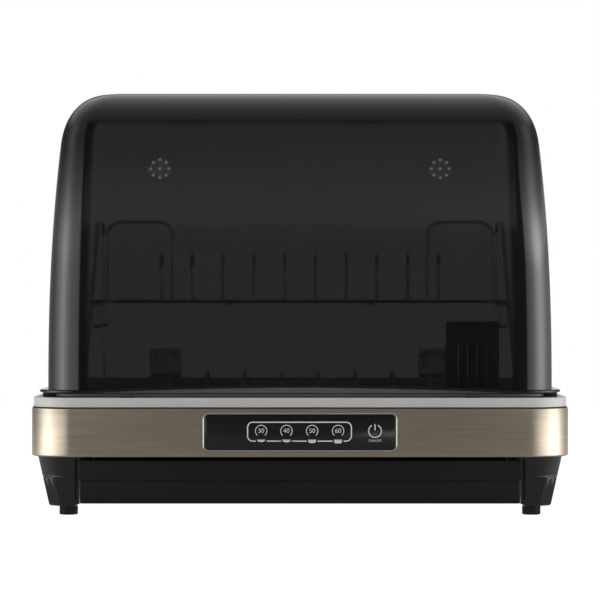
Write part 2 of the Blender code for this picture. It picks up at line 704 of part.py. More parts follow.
def leg(name, right, back):
    """A tapered leg with a shoulder, from inside the floor to the rubber foot."""
    top = HOUSING_BOTTOM + HOUSING_FLOOR / 2
    full = HOUSING_BOTTOM - LEG_BOTTOM
    stations = (
        (top, 0, LEG_CORNER),
        (HOUSING_BOTTOM, 0, LEG_CORNER),
        (LEG_SHOULDER + LEG_STEP, 0, LEG_CORNER),
        (LEG_SHOULDER, LEG_STEP, LEG_FACET),
        (LEG_BOTTOM + LEG_CHAMFER, LEG_STEP, LEG_FACET),
        (LEG_BOTTOM, LEG_STEP + LEG_CHAMFER, LEG_FACET - LEG_CHAMFER),
    )
    rings = []
    for height, step, corner in stations:
        share = max(0, HOUSING_BOTTOM - height) / full
        outer = LEG_OUTER - share * LEG_SPLAY - step
        front = LEG_FRONT - share * LEG_RAKE - step
        rear = LEG_FRONT - LEG_DEPTH + share * LEG_RAKE + step
        points = leg_ring((outer, front, rear), corner, height, faceted=height <= LEG_SHOULDER)
        rings.append([Vector((right * point.x, back * point.y, point.z)) for point in points])
    return loft(name, rings)


def machine_ring(offset, height):
    half_y = (MACHINE_REAR - MACHINE_FRONT) / 2 - offset
    points = ring(
        MACHINE_HALF_WIDTH - offset, half_y, MACHINE_CORNER - offset, height, steps=SMALL_CORNER_STEPS
    )
    return moved(points, 0, (MACHINE_REAR + MACHINE_FRONT) / 2)


def base_housing():
    stations = []
    radius = BAND_CURL - HOUSING_OFFSET
    for step in range(ARC_STEPS + 1):
        angle = (1 - step / ARC_STEPS) * math.pi / 2
        stations.append(
            (BAND_CURL - radius * math.cos(angle), CURL_HEIGHT - radius * math.sin(angle))
        )
    stations.append((HOUSING_OFFSET, HOUSING_TOP))
    housing = loft("base_housing", [band_ring(*station) for station in stations])
    inside = [
        band_ring(HOUSING_INNER, height) for height in (HOUSING_FLOOR_TOP, HOUSING_TOP + CUT_OVERRUN)
    ]
    cut(housing, loft("housing_inside", inside))
    for right in (-1, 1):
        for back in (-1, 1):
            join(housing, leg(f"leg_{right}_{back}", right, back))
    sunk = HOUSING_BOTTOM + HOUSING_FLOOR / 2
    walls = (
        machine_ring(0, MACHINE_FLOOR),
        machine_ring(0, sunk),
        machine_ring(HOUSING_WALL, sunk),
        machine_ring(HOUSING_WALL, MACHINE_FLOOR),
    )
    join(housing, loft("machine_walls", walls, closed=True))
    floor_span = (HOUSING_BOTTOM - CUT_OVERRUN, HOUSING_FLOOR_TOP + CUT_OVERRUN)
    hole = DRAIN_RADIUS + SPOUT_WALL + SEAT + SEAL_WIDTH + SEAT
    cut(
        housing,
        window_cutter("housing_window", HALF_DEPTH - HOUSING_INNER),
        rod("drain_pass", (0, 0, floor_span[0]), (0, 0, floor_span[1]), hole),
        box(
            "riser_pass",
            (-DUCT_HALF_WIDTH - SEAT, RISER_FRONT - SEAT, floor_span[0]),
            (DUCT_HALF_WIDTH + SEAT, RISER_BACK + SEAT, floor_span[1]),
        ),
        rod(
            "inlet_pass",
            (INLET_X, MACHINE_REAR + CUT_OVERRUN, INLET_HEIGHT),
            (INLET_X, MACHINE_REAR - HOUSING_WALL - CUT_OVERRUN, INLET_HEIGHT),
            INLET_RADIUS + SEAT,
        ),
    )
    return paint(housing, "black_plastic")


def bottom_cover():
    cover = loft("bottom_cover", [machine_ring(0, height) for height in (COVER_BOTTOM, COVER_TOP)])
    for x in (POWER_BOARD_X[0] + POST_INSET, POWER_BOARD_X[1] - POST_INSET):
        for y in (POWER_BOARD_Y[0] + POST_INSET, POWER_BOARD_Y[1] - POST_INSET):
            foot, top = COVER_TOP - COVER_SHEET / 2, COVER_TOP + POST_HEIGHT
            join(cover, rod("post", (x, y, foot), (x, y, top), POST_RADIUS, SMALL_SIDES))
    for slot in range(COVER_SLOTS):
        x = (slot - (COVER_SLOTS - 1) / 2) * COVER_SLOT_PITCH
        reach = math.sqrt(INTAKE_RADIUS**2 - x**2) - COVER_SLOT
        low = (x - COVER_SLOT / 2 - BLOWER_X, BLOWER_Y - reach, COVER_BOTTOM - CUT_OVERRUN)
        high = (x + COVER_SLOT / 2 - BLOWER_X, BLOWER_Y + reach, COVER_TOP + CUT_OVERRUN)
        cut(cover, box("intake_slot", low, high))
    return paint(cover, "black_plastic")


def rubber_foot(name, right, back):
    edge = RUBBER_FOOT_RADIUS - RUBBER_FOOT_LIP
    foot = turned(
        name,
        (
            (0, RUBBER_FOOT_HEIGHT),
            (RUBBER_FOOT_RADIUS, RUBBER_FOOT_HEIGHT),
            (RUBBER_FOOT_RADIUS, RUBBER_FOOT_LIP),
            (edge, 0),
            (FOOT_RECESS_RADIUS, 0),
            (FOOT_RECESS_RADIUS, FOOT_RECESS_DEPTH),
            (0, FOOT_RECESS_DEPTH),
        ),
        FOOT_SIDES,
    )
    foot.location = (right * RUBBER_FOOT_X, back * RUBBER_FOOT_Y, 0)
    return paint(foot, "rubber")


def basin():
    """Rim, skirt, upstand, walls and floor as one shell, from the floor up and over and back underneath."""
    skirt_bottom = HOUSING_TOP + SEAT
    skirt_inner = RIM_INSET + RIM_WALL
    under = RIM_TOP - RIM_WALL
    outer_wall = BASIN_INNER - RIM_WALL
    top_side, under_side = [], []
    for step in range(ARC_STEPS + 1):
        angle = step / ARC_STEPS * math.pi / 2
        for side, radius in ((top_side, BASIN_FILLET), (under_side, BASIN_FILLET + RIM_WALL)):
            offset = BASIN_INNER + BASIN_FILLET - radius * math.sin(angle)
            side.append((offset, BASIN_FLOOR + BASIN_FILLET - radius * math.cos(angle)))
    stations = top_side + [
        (BASIN_INNER, RIM_TOP + UPSTAND_HEIGHT),
        (UPSTAND_OFFSET, RIM_TOP + UPSTAND_HEIGHT),
        (UPSTAND_OFFSET, RIM_TOP),
        (SLOPE_TOP_OFFSET, RIM_TOP),
        (RIM_INSET, RIM_BREAK),
        (RIM_INSET, skirt_bottom),
        (skirt_inner, skirt_bottom),
        (skirt_inner, RIM_BREAK - RIM_WALL / 2),
        (SLOPE_TOP_OFFSET + RIM_WALL / 2, under),
        (outer_wall, under),
    ]
    rings = []
    for offset, height in stations + under_side[::-1]:
        corner = BAND_CORNER if offset < outer_wall and offset < UPSTAND_OFFSET else BASIN_CORNER
        rings.append(band_ring(offset, height, corner))
    made = loft("basin", rings)
    spout_bottom = HOUSING_BOTTOM - SPOUT_DROP
    spout_radius = DRAIN_RADIUS + SPOUT_WALL
    middle = BASIN_FLOOR - RIM_WALL / 2
    join(made, rod("spout", (0, 0, spout_bottom), (0, 0, middle), spout_radius))
    for x in (-SIDE_FRAME_X, SIDE_FRAME_X):
        for y in (-SIDE_FRONT_FOOT, SIDE_REAR_FOOT):
            top = BASIN_FLOOR + SOCKET_HEIGHT
            wall = SOCKET_BORE + SOCKET_WALL
            join(made, rod("socket", (x, y, middle), (x, y, top), wall, TINY_SIDES))
            over = top + CUT_OVERRUN
            cut(made, rod("bore", (x, y, BASIN_FLOOR), (x, y, over), SOCKET_BORE, TINY_SIDES))
    below, above = spout_bottom - CUT_OVERRUN, BASIN_FLOOR + CUT_OVERRUN
    cut(made, rod("drain", (0, 0, below), (0, 0, above), DRAIN_RADIUS))
    cut(
        made,
        box(
            "mouth_pass",
            (-MOUTH_HALF_WIDTH, BASIN_BACK - CUT_OVERRUN, MOUTH_BOTTOM),
            (MOUTH_HALF_WIDTH, BASIN_BACK + RIM_WALL + CUT_OVERRUN, MOUTH_TOP),
        ),
    )
    for side in (-1, 1):
        outline = pad_outline(grow=SEAT)
        middle_x = side * PAD_X
        reach = PAD_HALF_WIDTH + SEAT
        cut(made, prism("pad_pocket", outline, middle_x - reach, middle_x + reach))
    return paint(made, "white_plastic")


def pad_outline(grow=0.0):
    """Side view of a pad: upright at the front, then level with the rim. A grown one cuts its pocket."""
    base = RIM_TOP - PAD_BASE_DEPTH
    slope_share = (base - RIM_BREAK) / RIM_SLOPE_RISE
    front = HALF_DEPTH - RIM_INSET - slope_share * RIM_SLOPE_RUN
    back = front - PAD_LENGTH
    if grow:
        top = RIM_TOP + CUT_OVERRUN
        return (
            (-front - grow, base - grow),
            (-front - grow, top),
            (-back + grow, top),
            (-back + grow, base - grow),
        )
    return (
        (-front, base),
        (-front, base + PAD_STAND),
        (SLOPE_TOP_OFFSET - HALF_DEPTH, RIM_TOP),
        (-back, RIM_TOP),
        (-back, base),
    )


def lid_bumper(name, side):
    start = side * PAD_X - PAD_HALF_WIDTH
    return paint(prism(name, pad_outline(), start, start + 2 * PAD_HALF_WIDTH), "rubber")


def bowed(points):
    """Lifts the front of a ring of the lid into the arch of the finger grip."""
    lifted = []
    for point in points:
        rise = 0
        if point.y < 0 and abs(point.x) < ARCH_HALF_WIDTH:
            fade = 1 - max(0, point.z - DOME_FOOT) / ARCH_BLEND
            rise = ARCH_RISE * (1 - (point.x / ARCH_HALF_WIDTH) ** 2) * max(0, fade)
        lifted.append(point + Vector((0, 0, rise)))
    return lifted


def reach(height, full, base, lean, drop, turn):
    """Half width of the dome at a height: it leans in, then turns over towards the top."""
    inward = lean * (height / full) ** LEAN_POWER
    above = min(1, max(0, height - full + drop) / drop)
    over = 1 - (1 - above**TURN_POWER) ** (1 / TURN_POWER)
    return base - inward - turn * over


def dome_ring(height, inset):
    """One ring of the dome, on its outside or drawn in by the wall."""
    full = DOME_HEIGHT - inset
    half_x = reach(height, full, HALF_WIDTH - DOME_OFFSET - inset, SIDE_LEAN, SIDE_DROP, SIDE_TURN)
    half_y = reach(height, full, HALF_DEPTH - DOME_OFFSET - inset, FRONT_LEAN, FRONT_DROP, FRONT_TURN)
    return bowed(ring(half_x, half_y, DOME_CORNER - inset, DOME_FOOT + height, FRONT_STEPS))


def dome_heights(inset):
    full = DOME_HEIGHT - inset
    shoulder = full - SIDE_DROP
    heights = [0] + [full * share for share in WALL_SHARES]
    for step in range(TURN_STEPS + 1):
        angle = step / TURN_STEPS * math.pi / 2
        heights.append(shoulder + SIDE_DROP * math.sin(angle))
    return heights


def lid_dome():
    flange_x, flange_y = HALF_WIDTH - FLANGE_OFFSET, HALF_DEPTH - FLANGE_OFFSET
    outside = [dome_ring(height, 0) for height in reversed(dome_heights(0))]
    flange = [
        bowed(ring(flange_x, flange_y, FLANGE_CORNER, height, FRONT_STEPS))
        for height in (DOME_FOOT, FLANGE_BOTTOM)
    ]
    inner_x = HALF_WIDTH - DOME_OFFSET - DOME_WALL
    inner_y = HALF_DEPTH - DOME_OFFSET - DOME_WALL
    lip = bowed(ring(inner_x, inner_y, DOME_CORNER - DOME_WALL, FLANGE_BOTTOM, FRONT_STEPS))
    inside = [dome_ring(height, DOME_WALL) for height in dome_heights(DOME_WALL)]
    dome = loft("lid_dome", outside + flange + [lip] + inside)
    height, front, _ = vent_place()
    for x in (-VENT_X, VENT_X):
        start = (x, -front - CUT_OVERRUN, height)
        end = (x, -front + DOME_WALL + CUT_OVERRUN, height)
        cut(dome, rod("vent_hole", start, end, VENT_RADIUS + SEAT))
    return paint(dome, "smoke")


def vent_place():
    """Height of the vents, how far forward the wall is there, and its slope."""
    above = DOME_HEIGHT - VENT_BELOW_TOP
    base = HALF_DEPTH - DOME_OFFSET
    front, higher = (
        reach(at, DOME_HEIGHT, base, FRONT_LEAN, FRONT_DROP, FRONT_TURN) for at in (above, above + SLOPE_PROBE)
    )
    return DOME_FOOT + above, front, math.atan2(front - higher, SLOPE_PROBE)


def lid_vent(name, side):
    """A round insert with a ring of holes and one in the middle, in the front wall of the dome."""
    height, front, slope = vent_place()
    rim = VENT_RADIUS + VENT_FLANGE
    face = SEAT + VENT_FLANGE_THICKNESS
    profile = (
        (0, face),
        (rim, face),
        (rim, SEAT),
        (VENT_RADIUS, SEAT),
        (VENT_RADIUS, -DOME_WALL),
        (0, -DOME_WALL),
    )
    vent = turned(name, profile)
    spots = [(0, 0)]
    for hole in range(VENT_HOLES):
        angle = hole / VENT_HOLES * 2 * math.pi
        spots.append((VENT_RING_RADIUS * math.cos(angle), VENT_RING_RADIUS * math.sin(angle)))
    for x, y in spots:
        ends = (x, y, face + CUT_OVERRUN), (x, y, -DOME_WALL - CUT_OVERRUN)
        hole = rod("vent_bore", *ends, VENT_HOLE_RADIUS, VENT_SIDES)
        hole.parent = vent
        cut(vent, hole)
    vent.location = (side * VENT_X, -front, height)
    vent.rotation_euler = (math.pi / 2 - slope, 0, 0)
    return paint(vent, "smoke")


def hinge_bracket(name, side):
    """Two ears on a plate against the back of the rim, with the pin between them."""
    rim_back = HALF_DEPTH - RIM_INSET + SEAT
    plate_back = rim_back + BRACKET_SHEET
    plate_bottom = BAND_TOP + SEAT
    plate_top = plate_bottom + BRACKET_HEIGHT
    slope_y = HALF_DEPTH - SLOPE_TOP_OFFSET
    middle = side * HINGE_X
    ear = [
        (HINGE_Y - EAR_RADIUS, RIM_TOP + SEAT),
        (slope_y, RIM_TOP + SEAT),
        (rim_back, RIM_BREAK + SEAT),
        (rim_back, plate_bottom),
        (plate_back, plate_bottom),
        (plate_back, RIM_TOP),
    ]
    for step in range(2 * ARC_STEPS + 1):
        angle = step / (2 * ARC_STEPS) * math.pi
        ear.append((HINGE_Y + EAR_RADIUS * math.cos(angle), HINGE_Z + EAR_RADIUS * math.sin(angle)))
    bracket = box(
        name,
        (middle - BRACKET_HALF_WIDTH, rim_back, plate_bottom),
        (middle + BRACKET_HALF_WIDTH, plate_back, plate_top),
    )
    ear_start = BARREL_LENGTH / 2 + EAR_SIDE_GAP
    for way in (-1, 1):
        ends = (middle + way * ear_start, middle + way * (ear_start + EAR_THICKNESS))
        join(bracket, prism("ear", ear, *ends))
    bore_end = ear_start + EAR_THICKNESS + CUT_OVERRUN
    cut(bracket, hinge_rod("ear_bore", middle, bore_end, PIN_RADIUS + SHAFT_CLEARANCE))
    return paint(bracket, "black_plastic")


def hinge_rod(name, middle, half_length, radius):
    ends = (middle - half_length, HINGE_Y, HINGE_Z), (middle + half_length, HINGE_Y, HINGE_Z)
    return rod(name, *ends, radius, SMALL_SIDES)


def hinge_pin(name, side):
    middle = side * HINGE_X
    length = BARREL_LENGTH / 2 + EAR_SIDE_GAP + EAR_THICKNESS + SEAT
    pin = hinge_rod(name, middle, length + PIN_HEAD_LENGTH, PIN_RADIUS)
    for way in (-1, 1):
        start = (middle + way * length, HINGE_Y, HINGE_Z)
        end = (middle + way * (length + PIN_HEAD_LENGTH), HINGE_Y, HINGE_Z)
        join(pin, rod("pin_head", start, end, PIN_HEAD_RADIUS, SMALL_SIDES))
    return paint(pin, "zinc")


def lid_hinge(name, side):
    """A plate on the back wall of the dome with a barrel round the pin."""
    middle = side * HINGE_X
    wall_back = HALF_DEPTH - DOME_OFFSET + SEAT
    plate_back = wall_back + HINGE_PLATE_SHEET
    bottom = DOME_FOOT + SEAT
    arm = box(
        name,
        (middle - HINGE_PLATE_HALF_WIDTH, wall_back, bottom),
        (middle + HINGE_PLATE_HALF_WIDTH, plate_back, bottom + HINGE_PLATE_HEIGHT),
    )
    web = box(
        "web",
        (middle - BARREL_LENGTH / 2, plate_back - HINGE_PLATE_SHEET / 2, HINGE_Z - HINGE_WEB_HEIGHT / 2),
        (middle + BARREL_LENGTH / 2, HINGE_Y - PIN_RADIUS - SEAT, HINGE_Z + HINGE_WEB_HEIGHT / 2),
    )
    barrel = hinge_rod("barrel", middle, BARREL_LENGTH / 2, BARREL_RADIUS)
    join(arm, web, barrel)
    bore_end = BARREL_LENGTH / 2 + CUT_OVERRUN
    cut(arm, hinge_rod("barrel_bore", middle, bore_end, PIN_RADIUS + SHAFT_CLEARANCE))
    return paint(arm, "black_plastic")


def window_ring(inset, depth):
    """The outline of the panel window, drawn in, at a depth from the front of the band."""
    half_x, half_z = WINDOW_HALF_WIDTH - inset, WINDOW_HEIGHT / 2 - inset
    outline = ring(half_x, half_z, WINDOW_CORNER - inset, 0, steps=SMALL_CORNER_STEPS)
    return upright(outline, depth - HALF_DEPTH, WINDOW_CENTRE)


def panel_bezel():
    """A narrow frame in the window, held by a lip behind the wall of the housing."""
    wall_back = HOUSING_INNER + SEAT
    back = wall_back + BEZEL_LIP_SHEET
    inner = SEAT + BEZEL_WIDTH
    stations = (
        (SEAT, 0),
        (SEAT, wall_back),
        (-BEZEL_LIP, wall_back),
        (-BEZEL_LIP, back),
        (inner, back),
        (inner, 0),
    )
    bezel = loft("panel_bezel", [window_ring(*station) for station in stations], closed=True)
    return paint(bezel, "bezel_steel")


def control_panel():
    """A glossy front with walls behind it, open at the back for its board."""
    edge = 2 * SEAT + BEZEL_WIDTH
    inner = edge + PANEL_WALL
    back = PANEL_RECESS + PANEL_DEPTH
    stations = (
        (edge, PANEL_RECESS),
        (edge, back),
        (inner, back),
        (inner, PANEL_RECESS + PANEL_SHEET),
    )
    return paint(
        loft("control_panel", [window_ring(*station) for station in stations]), "gloss_black"
    )


def control_board():
    edge = 3 * SEAT + BEZEL_WIDTH + PANEL_WALL
    front = PANEL_RECESS + PANEL_SHEET + SEAT + DISPLAY_HEIGHT
    board = loft("control_board", [window_ring(edge, depth) for depth in (front, front + BOARD_SHEET)])
    y = front - HALF_DEPTH
    display = box(
        "display",
        (-DISPLAY_HALF_WIDTH, y - DISPLAY_HEIGHT, WINDOW_CENTRE - CHIP_SIZE / 2),
        (DISPLAY_HALF_WIDTH, y + BOARD_SHEET / 2, WINDOW_CENTRE + CHIP_SIZE / 2),
    )
    chip_y = y + BOARD_SHEET / 2
    chip = box(
        "chip",
        (-CHIP_SIZE / 2, chip_y, WINDOW_CENTRE - CHIP_SIZE / 2),
        (CHIP_SIZE / 2, chip_y + BOARD_SHEET + DISPLAY_HEIGHT / 2, WINDOW_CENTRE + CHIP_SIZE / 2),
    )
    return paint(join(board, display, chip), "board")


def tray_ring(offset, height):
    """The outline of the drip tray, drawn in or out."""
    front = TRAY_FACE_FRONT - TRAY_FACE_SHEET
    half_y = (TRAY_REAR + front) / 2 - offset
    points = ring(
        TRAY_HALF_WIDTH - offset, half_y, TRAY_CORNER - offset, height, steps=SMALL_CORNER_STEPS
    )
    return moved(points, 0, (TRAY_REAR - front) / 2)


def drip_tray():
    lip_bottom = TRAY_RIM - TRAY_LIP_THICKNESS
    stations = (
        (TRAY_WALL, TRAY_BOTTOM + TRAY_WALL),
        (TRAY_WALL, TRAY_RIM),
        (-TRAY_LIP, TRAY_RIM),
        (-TRAY_LIP, lip_bottom),
        (0, lip_bottom),
        (0, TRAY_BOTTOM),
    )
    tray = loft("drip_tray", [tray_ring(*station) for station in stations])
    back = TRAY_WALL / 2 + TRAY_FACE_SHEET - TRAY_FACE_FRONT
    upper = box(
        "face_upper",
        (-TRAY_FACE_HALF_WIDTH, -TRAY_FACE_FRONT, TRAY_FACE_STEP),
        (TRAY_FACE_HALF_WIDTH, back, TRAY_FACE_TOP),
    )
    narrow = TRAY_FACE_HALF_WIDTH - TRAY_FACE_SETBACK
    lower = box(
        "face_lower",
        (-narrow, TRAY_FACE_SETBACK - TRAY_FACE_FRONT, TRAY_FACE_BOTTOM),
        (narrow, back, TRAY_FACE_STEP + TRAY_FACE_SETBACK),
    )
    for slab in (upper, lower):
        bevel = slab.modifiers.new("edge", "BEVEL")
        bevel.width = TRAY_FACE_BEVEL
        bevel.segments = 1
    join(tray, upper, lower)
    return paint(tray, "black_plastic")


def tray_rail(name, side):
    """An angle under the floor, whose ledge carries the lip of the tray."""
    web_inner = TRAY_HALF_WIDTH + TRAY_LIP + SEAT
    web_outer = web_inner + RAIL_SHEET
    ledge_inner = web_inner - RAIL_REACH
    ledge_top = TRAY_RIM - TRAY_LIP_THICKNESS - SEAT
    ledge_bottom = ledge_top - RAIL_LEDGE_THICKNESS
    top = HOUSING_BOTTOM - SEAT
    outline = (
        (web_outer, ledge_bottom),
        (web_outer, top),
        (web_inner, top),
        (web_inner, ledge_top),
        (ledge_inner, ledge_top),
        (ledge_inner, ledge_bottom),
    )
    ends = (-RAIL_FRONT, TRAY_REAR)
    rings = [[Vector((side * x, y, z)) for x, z in outline] for y in ends]
    return paint(loft(name, rings), "grey_plastic")


def drain_strainer():
    """A lift-out cup with slots, hung by its rim over the drain."""
    rim_bottom = BASIN_FLOOR + SEAT
    rim_top = rim_bottom + STRAINER_RIM_THICKNESS
    cup = DRAIN_RADIUS - SEAT
    cup_bottom = rim_bottom - STRAINER_CUP_DEPTH
    inner = cup - STRAINER_SHEET
    strainer = turned(
        "drain_strainer",
        (
            (0, cup_bottom + STRAINER_SHEET),
            (inner, cup_bottom + STRAINER_SHEET),
            (inner, rim_top),
            (cup + STRAINER_RIM, rim_top),
            (cup + STRAINER_RIM, rim_bottom),
            (cup, rim_bottom),
            (cup, cup_bottom),
            (0, cup_bottom),
        ),
    )
    for slot in (-1, 0, 1):
        x = slot * inner / 2
        low = (x - STRAINER_SLOT / 2, -inner / 2, cup_bottom - CUT_OVERRUN)
        high = (x + STRAINER_SLOT / 2, inner / 2, cup_bottom + STRAINER_SHEET + CUT_OVERRUN)
        cut(strainer, box("strainer_slot", low, high))
    return paint(strainer, "grey_plastic")


def drain_seal():
    inner = DRAIN_RADIUS + SPOUT_WALL + SEAT
    outer = inner + SEAL_WIDTH
    middle = HOUSING_BOTTOM + HOUSING_FLOOR / 2
    low, high = middle - SEAL_THICKNESS / 2, middle + SEAL_THICKNESS / 2
    profile = ((outer, high), (outer, low), (inner, low), (inner, high))
    return paint(turned("drain_seal", profile, closed=True), "rubber")


def side_frame(name, side):
    """A bent wire stood in two sockets, with a bar across that carries the upper rack."""
    x = side * SIDE_FRAME_X
    foot = BASIN_FLOOR + SEAT
    top = BASIN_FLOOR + SIDE_TOP_HEIGHT
    slant = (x, SIDE_SLANT_Y, BASIN_FLOOR + SIDE_SLANT_HEIGHT)
    post_top = (x, -SIDE_FRONT_FOOT, BASIN_FLOOR + SIDE_POST_HEIGHT)
    outline = (
        (x, -SIDE_FRONT_FOOT, foot),
        post_top,
        slant,
        (x, SIDE_TOP_Y, top),
        (x, SIDE_REAR_FOOT, top),
        (x, SIDE_REAR_FOOT, foot),
    )
    frame = wires(name, [bent(outline, SIDE_BEND)], FRAME_WIRE)
    share = (BAR_HEIGHT - post_top[2]) / (slant[2] - post_top[2])
    bar_front = post_top[1] + share * (slant[1] - post_top[1])
    bar = wires(
        "bar", [[(x, bar_front, BAR_HEIGHT), (x, SIDE_REAR_FOOT, BAR_HEIGHT)]], FRAME_WIRE
    )
    return paint(weld(name, frame, bar), "wire")


def rack_floor(name, half_width, front, pitch, bays, height):
    """A bent frame, wires along it, and two stiffening wires under them."""
    back = front + pitch * bays
    corners = ((half_width, front), (half_width, back), (-half_width, back), (-half_width, front))
    start = (0, front)
    path = bent([(x, y, height) for x, y in (start, *corners, start)], WIRE_BEND)[:-1]
    frame = wires(name, [path], FRAME_WIRE, closed=True)
    rows = [front + pitch * bay for bay in range(1, bays)]
    long_wires = wires(
        name + "_rows", [[(-half_width, y, height), (half_width, y, height)] for y in rows], THIN_WIRE
    )
    under = height - FRAME_WIRE - THIN_WIRE + WELD_OVERLAP
    cross = wires(
        name + "_cross",
        [[(x, front, under), (x, back, under)] for x in (-CROSS_WIRE_X, CROSS_WIRE_X)],
        FRAME_WIRE,
    )
    return [frame, long_wires, cross]


def pins(name, count, pitch, front, width, foot, height):
    """Narrow loops in a row that dishes stand between."""
    paths = []
    for pin in range(count):
        x = (pin - (count - 1) / 2) * pitch
        corners = (
            (x, front, foot),
            (x, front, foot + height),
            (x, front + width, foot + height),
            (x, front + width, foot),
        )
        paths.append(bent(corners, WIRE_BEND, PIN_BEND_STEPS))
    return wires(name, paths, THIN_WIRE)


def lower_rack():
    pieces = rack_floor(
        "lower_rack", LOWER_HALF_WIDTH, -LOWER_FRONT, LOWER_PITCH, LOWER_BAYS, LOWER_HEIGHT
    )
    loops = pins(
        "lower_pins",
        LOWER_PINS,
        LOWER_PIN_PITCH,
        -LOWER_FRONT,
        LOWER_PITCH,
        LOWER_HEIGHT,
        LOWER_PIN_HEIGHT,
    )
    feet = wires(
        "lower_feet",
        [
            [(x, y, LOWER_HEIGHT), (x, y, BASIN_FLOOR + SEAT)]
            for x in (-LOWER_FOOT_X, LOWER_FOOT_X)
            for y in (-LOWER_FRONT, LOWER_BACK)
        ],
        FRAME_WIRE,
    )
    return paint(weld("lower_rack", *pieces, loops, feet), "wire")


def upper_rack():
    pieces = rack_floor(
        "upper_rack", UPPER_HALF_WIDTH, -UPPER_FRONT, UPPER_PITCH, UPPER_BAYS, UPPER_HEIGHT
    )
    loops = pins(
        "upper_pins",
        UPPER_PINS,
        UPPER_PIN_PITCH,
        UPPER_PITCH * UPPER_PIN_BAY - UPPER_FRONT,
        UPPER_PITCH,
        UPPER_HEIGHT,
        UPPER_PIN_HEIGHT,
    )
    guards, hooks = [], []
    outer = SIDE_FRAME_X + FRAME_WIRE + SEAT + HOOK_WIRE
    for side in (-1, 1):
        guard_top = UPPER_HEIGHT + GUARD_HEIGHT
        corners = (
            (side * GUARD_INNER, -UPPER_FRONT, UPPER_HEIGHT),
            (side * GUARD_INNER, -UPPER_FRONT, guard_top),
            (side * GUARD_OUTER, -UPPER_FRONT, guard_top),
            (side * GUARD_OUTER, -UPPER_FRONT, UPPER_HEIGHT),
        )
        guards.append(bent(corners, WIRE_BEND))
        for y in (HOOK_Y - HOOK_SPACING / 2, HOOK_Y + HOOK_SPACING / 2):
            low = UPPER_HEIGHT - HOOK_DROP
            corners = (
                (side * UPPER_HALF_WIDTH, y, UPPER_HEIGHT),
                (side * outer, y, UPPER_HEIGHT),
                (side * outer, y, low),
                (side * (outer - HOOK_RETURN), y, low),
                (side * (outer - HOOK_RETURN), y, low + HOOK_RETURN),
            )
            hooks.append(bent(corners, HOOK_BEND, PIN_BEND_STEPS))
    guard_wires = wires("upper_guards", guards, FRAME_WIRE)
    hook_wires = wires("upper_hooks", hooks, HOOK_WIRE)
    return paint(weld("upper_rack", *pieces, loops, guard_wires, hook_wires), "wire")


def utensil_basket():
    """A deep cup with slotted walls that stands on the lower rack."""
    bottom = LOWER_HEIGHT + FRAME_WIRE + SEAT
    top = bottom + BASKET_HEIGHT
    half_x = (BASKET_OUTER - BASKET_INNER) / 2
    half_y = (BASKET_FRONT - BASKET_BACK) / 2
    centre_x = (BASKET_OUTER + BASKET_INNER) / 2
    centre_y = -(BASKET_FRONT + BASKET_BACK) / 2

    def basket_ring(inset, height):
        radius = BASKET_CORNER - inset
        points = ring(half_x - inset, half_y - inset, radius, height, steps=SMALL_CORNER_STEPS)
        return moved(points, centre_x, centre_y)

    stations = (
        (BASKET_WALL, bottom + BASKET_WALL),
        (BASKET_WALL, top),
        (0, top),
        (0, bottom),
    )
    basket = loft("utensil_basket", [basket_ring(*station) for station in stations])
    low, high = bottom + BASKET_SLOT_FOOT, bottom + BASKET_SLOT_FOOT + BASKET_SLOT_HEIGHT
    for half, is_long in ((half_x, True), (half_y, False)):
        count = int((2 * half - 2 * BASKET_CORNER) / BASKET_SLOT_PITCH)
        for slot in range(count):
            along = (slot - (count - 1) / 2) * BASKET_SLOT_PITCH
            if is_long:
                x, y = (along - BASKET_SLOT / 2, along + BASKET_SLOT / 2), (-half_y, half_y)
            else:
                x, y = (-half_x, half_x), (along - BASKET_SLOT / 2, along + BASKET_SLOT / 2)
            over_x, over_y = (0, CUT_OVERRUN) if is_long else (CUT_OVERRUN, 0)
            cut(
                basket,
                box(
                    "basket_slot",
                    (centre_x + x[0] - over_x, centre_y + y[0] - over_y, low),
                    (centre_x + x[1] + over_x, centre_y + y[1] + over_y, high),
                ),
            )
    return paint(basket, "grey_plastic")


def blower_housing():
    """A round case with a straight mouth, open below for the intake and above for the shaft."""

    def case(name, inset, extra):
        low, high = MACHINE_FLOOR + inset, BLOWER_TOP - inset
        drum = rod(name, (0, 0, low), (0, 0, high), BLOWER_RADIUS - inset, ROUND_SIDES)
        mouth = box(
            name + "_mouth",
            (0, DUCT_FRONT - BLOWER_Y + inset, low),
            (BLOWER_MOUTH_REACH + extra, DUCT_BACK - BLOWER_Y - inset, high),
        )
        mouth.parent = drum
        return join(drum, mouth)

    housing = case("blower_housing", 0, 0)
    hollow = case("blower_hollow", BLOWER_WALL, CUT_OVERRUN)
    low = MACHINE_FLOOR - CUT_OVERRUN
    middle = (MACHINE_FLOOR + BLOWER_TOP) / 2
    intake = rod("intake", (0, 0, low), (0, 0, middle), INTAKE_RADIUS)
    shaft_hole = HUB_RADIUS
    pass_through = rod("shaft_pass", (0, 0, middle), (0, 0, BLOWER_TOP + CUT_OVERRUN), shaft_hole)
    for tool in (hollow, intake, pass_through):
        tool.parent = housing
    cut(housing, hollow, intake, pass_through)
    housing.location = (-BLOWER_X, BLOWER_Y, 0)
    return paint(housing, "grey_plastic")


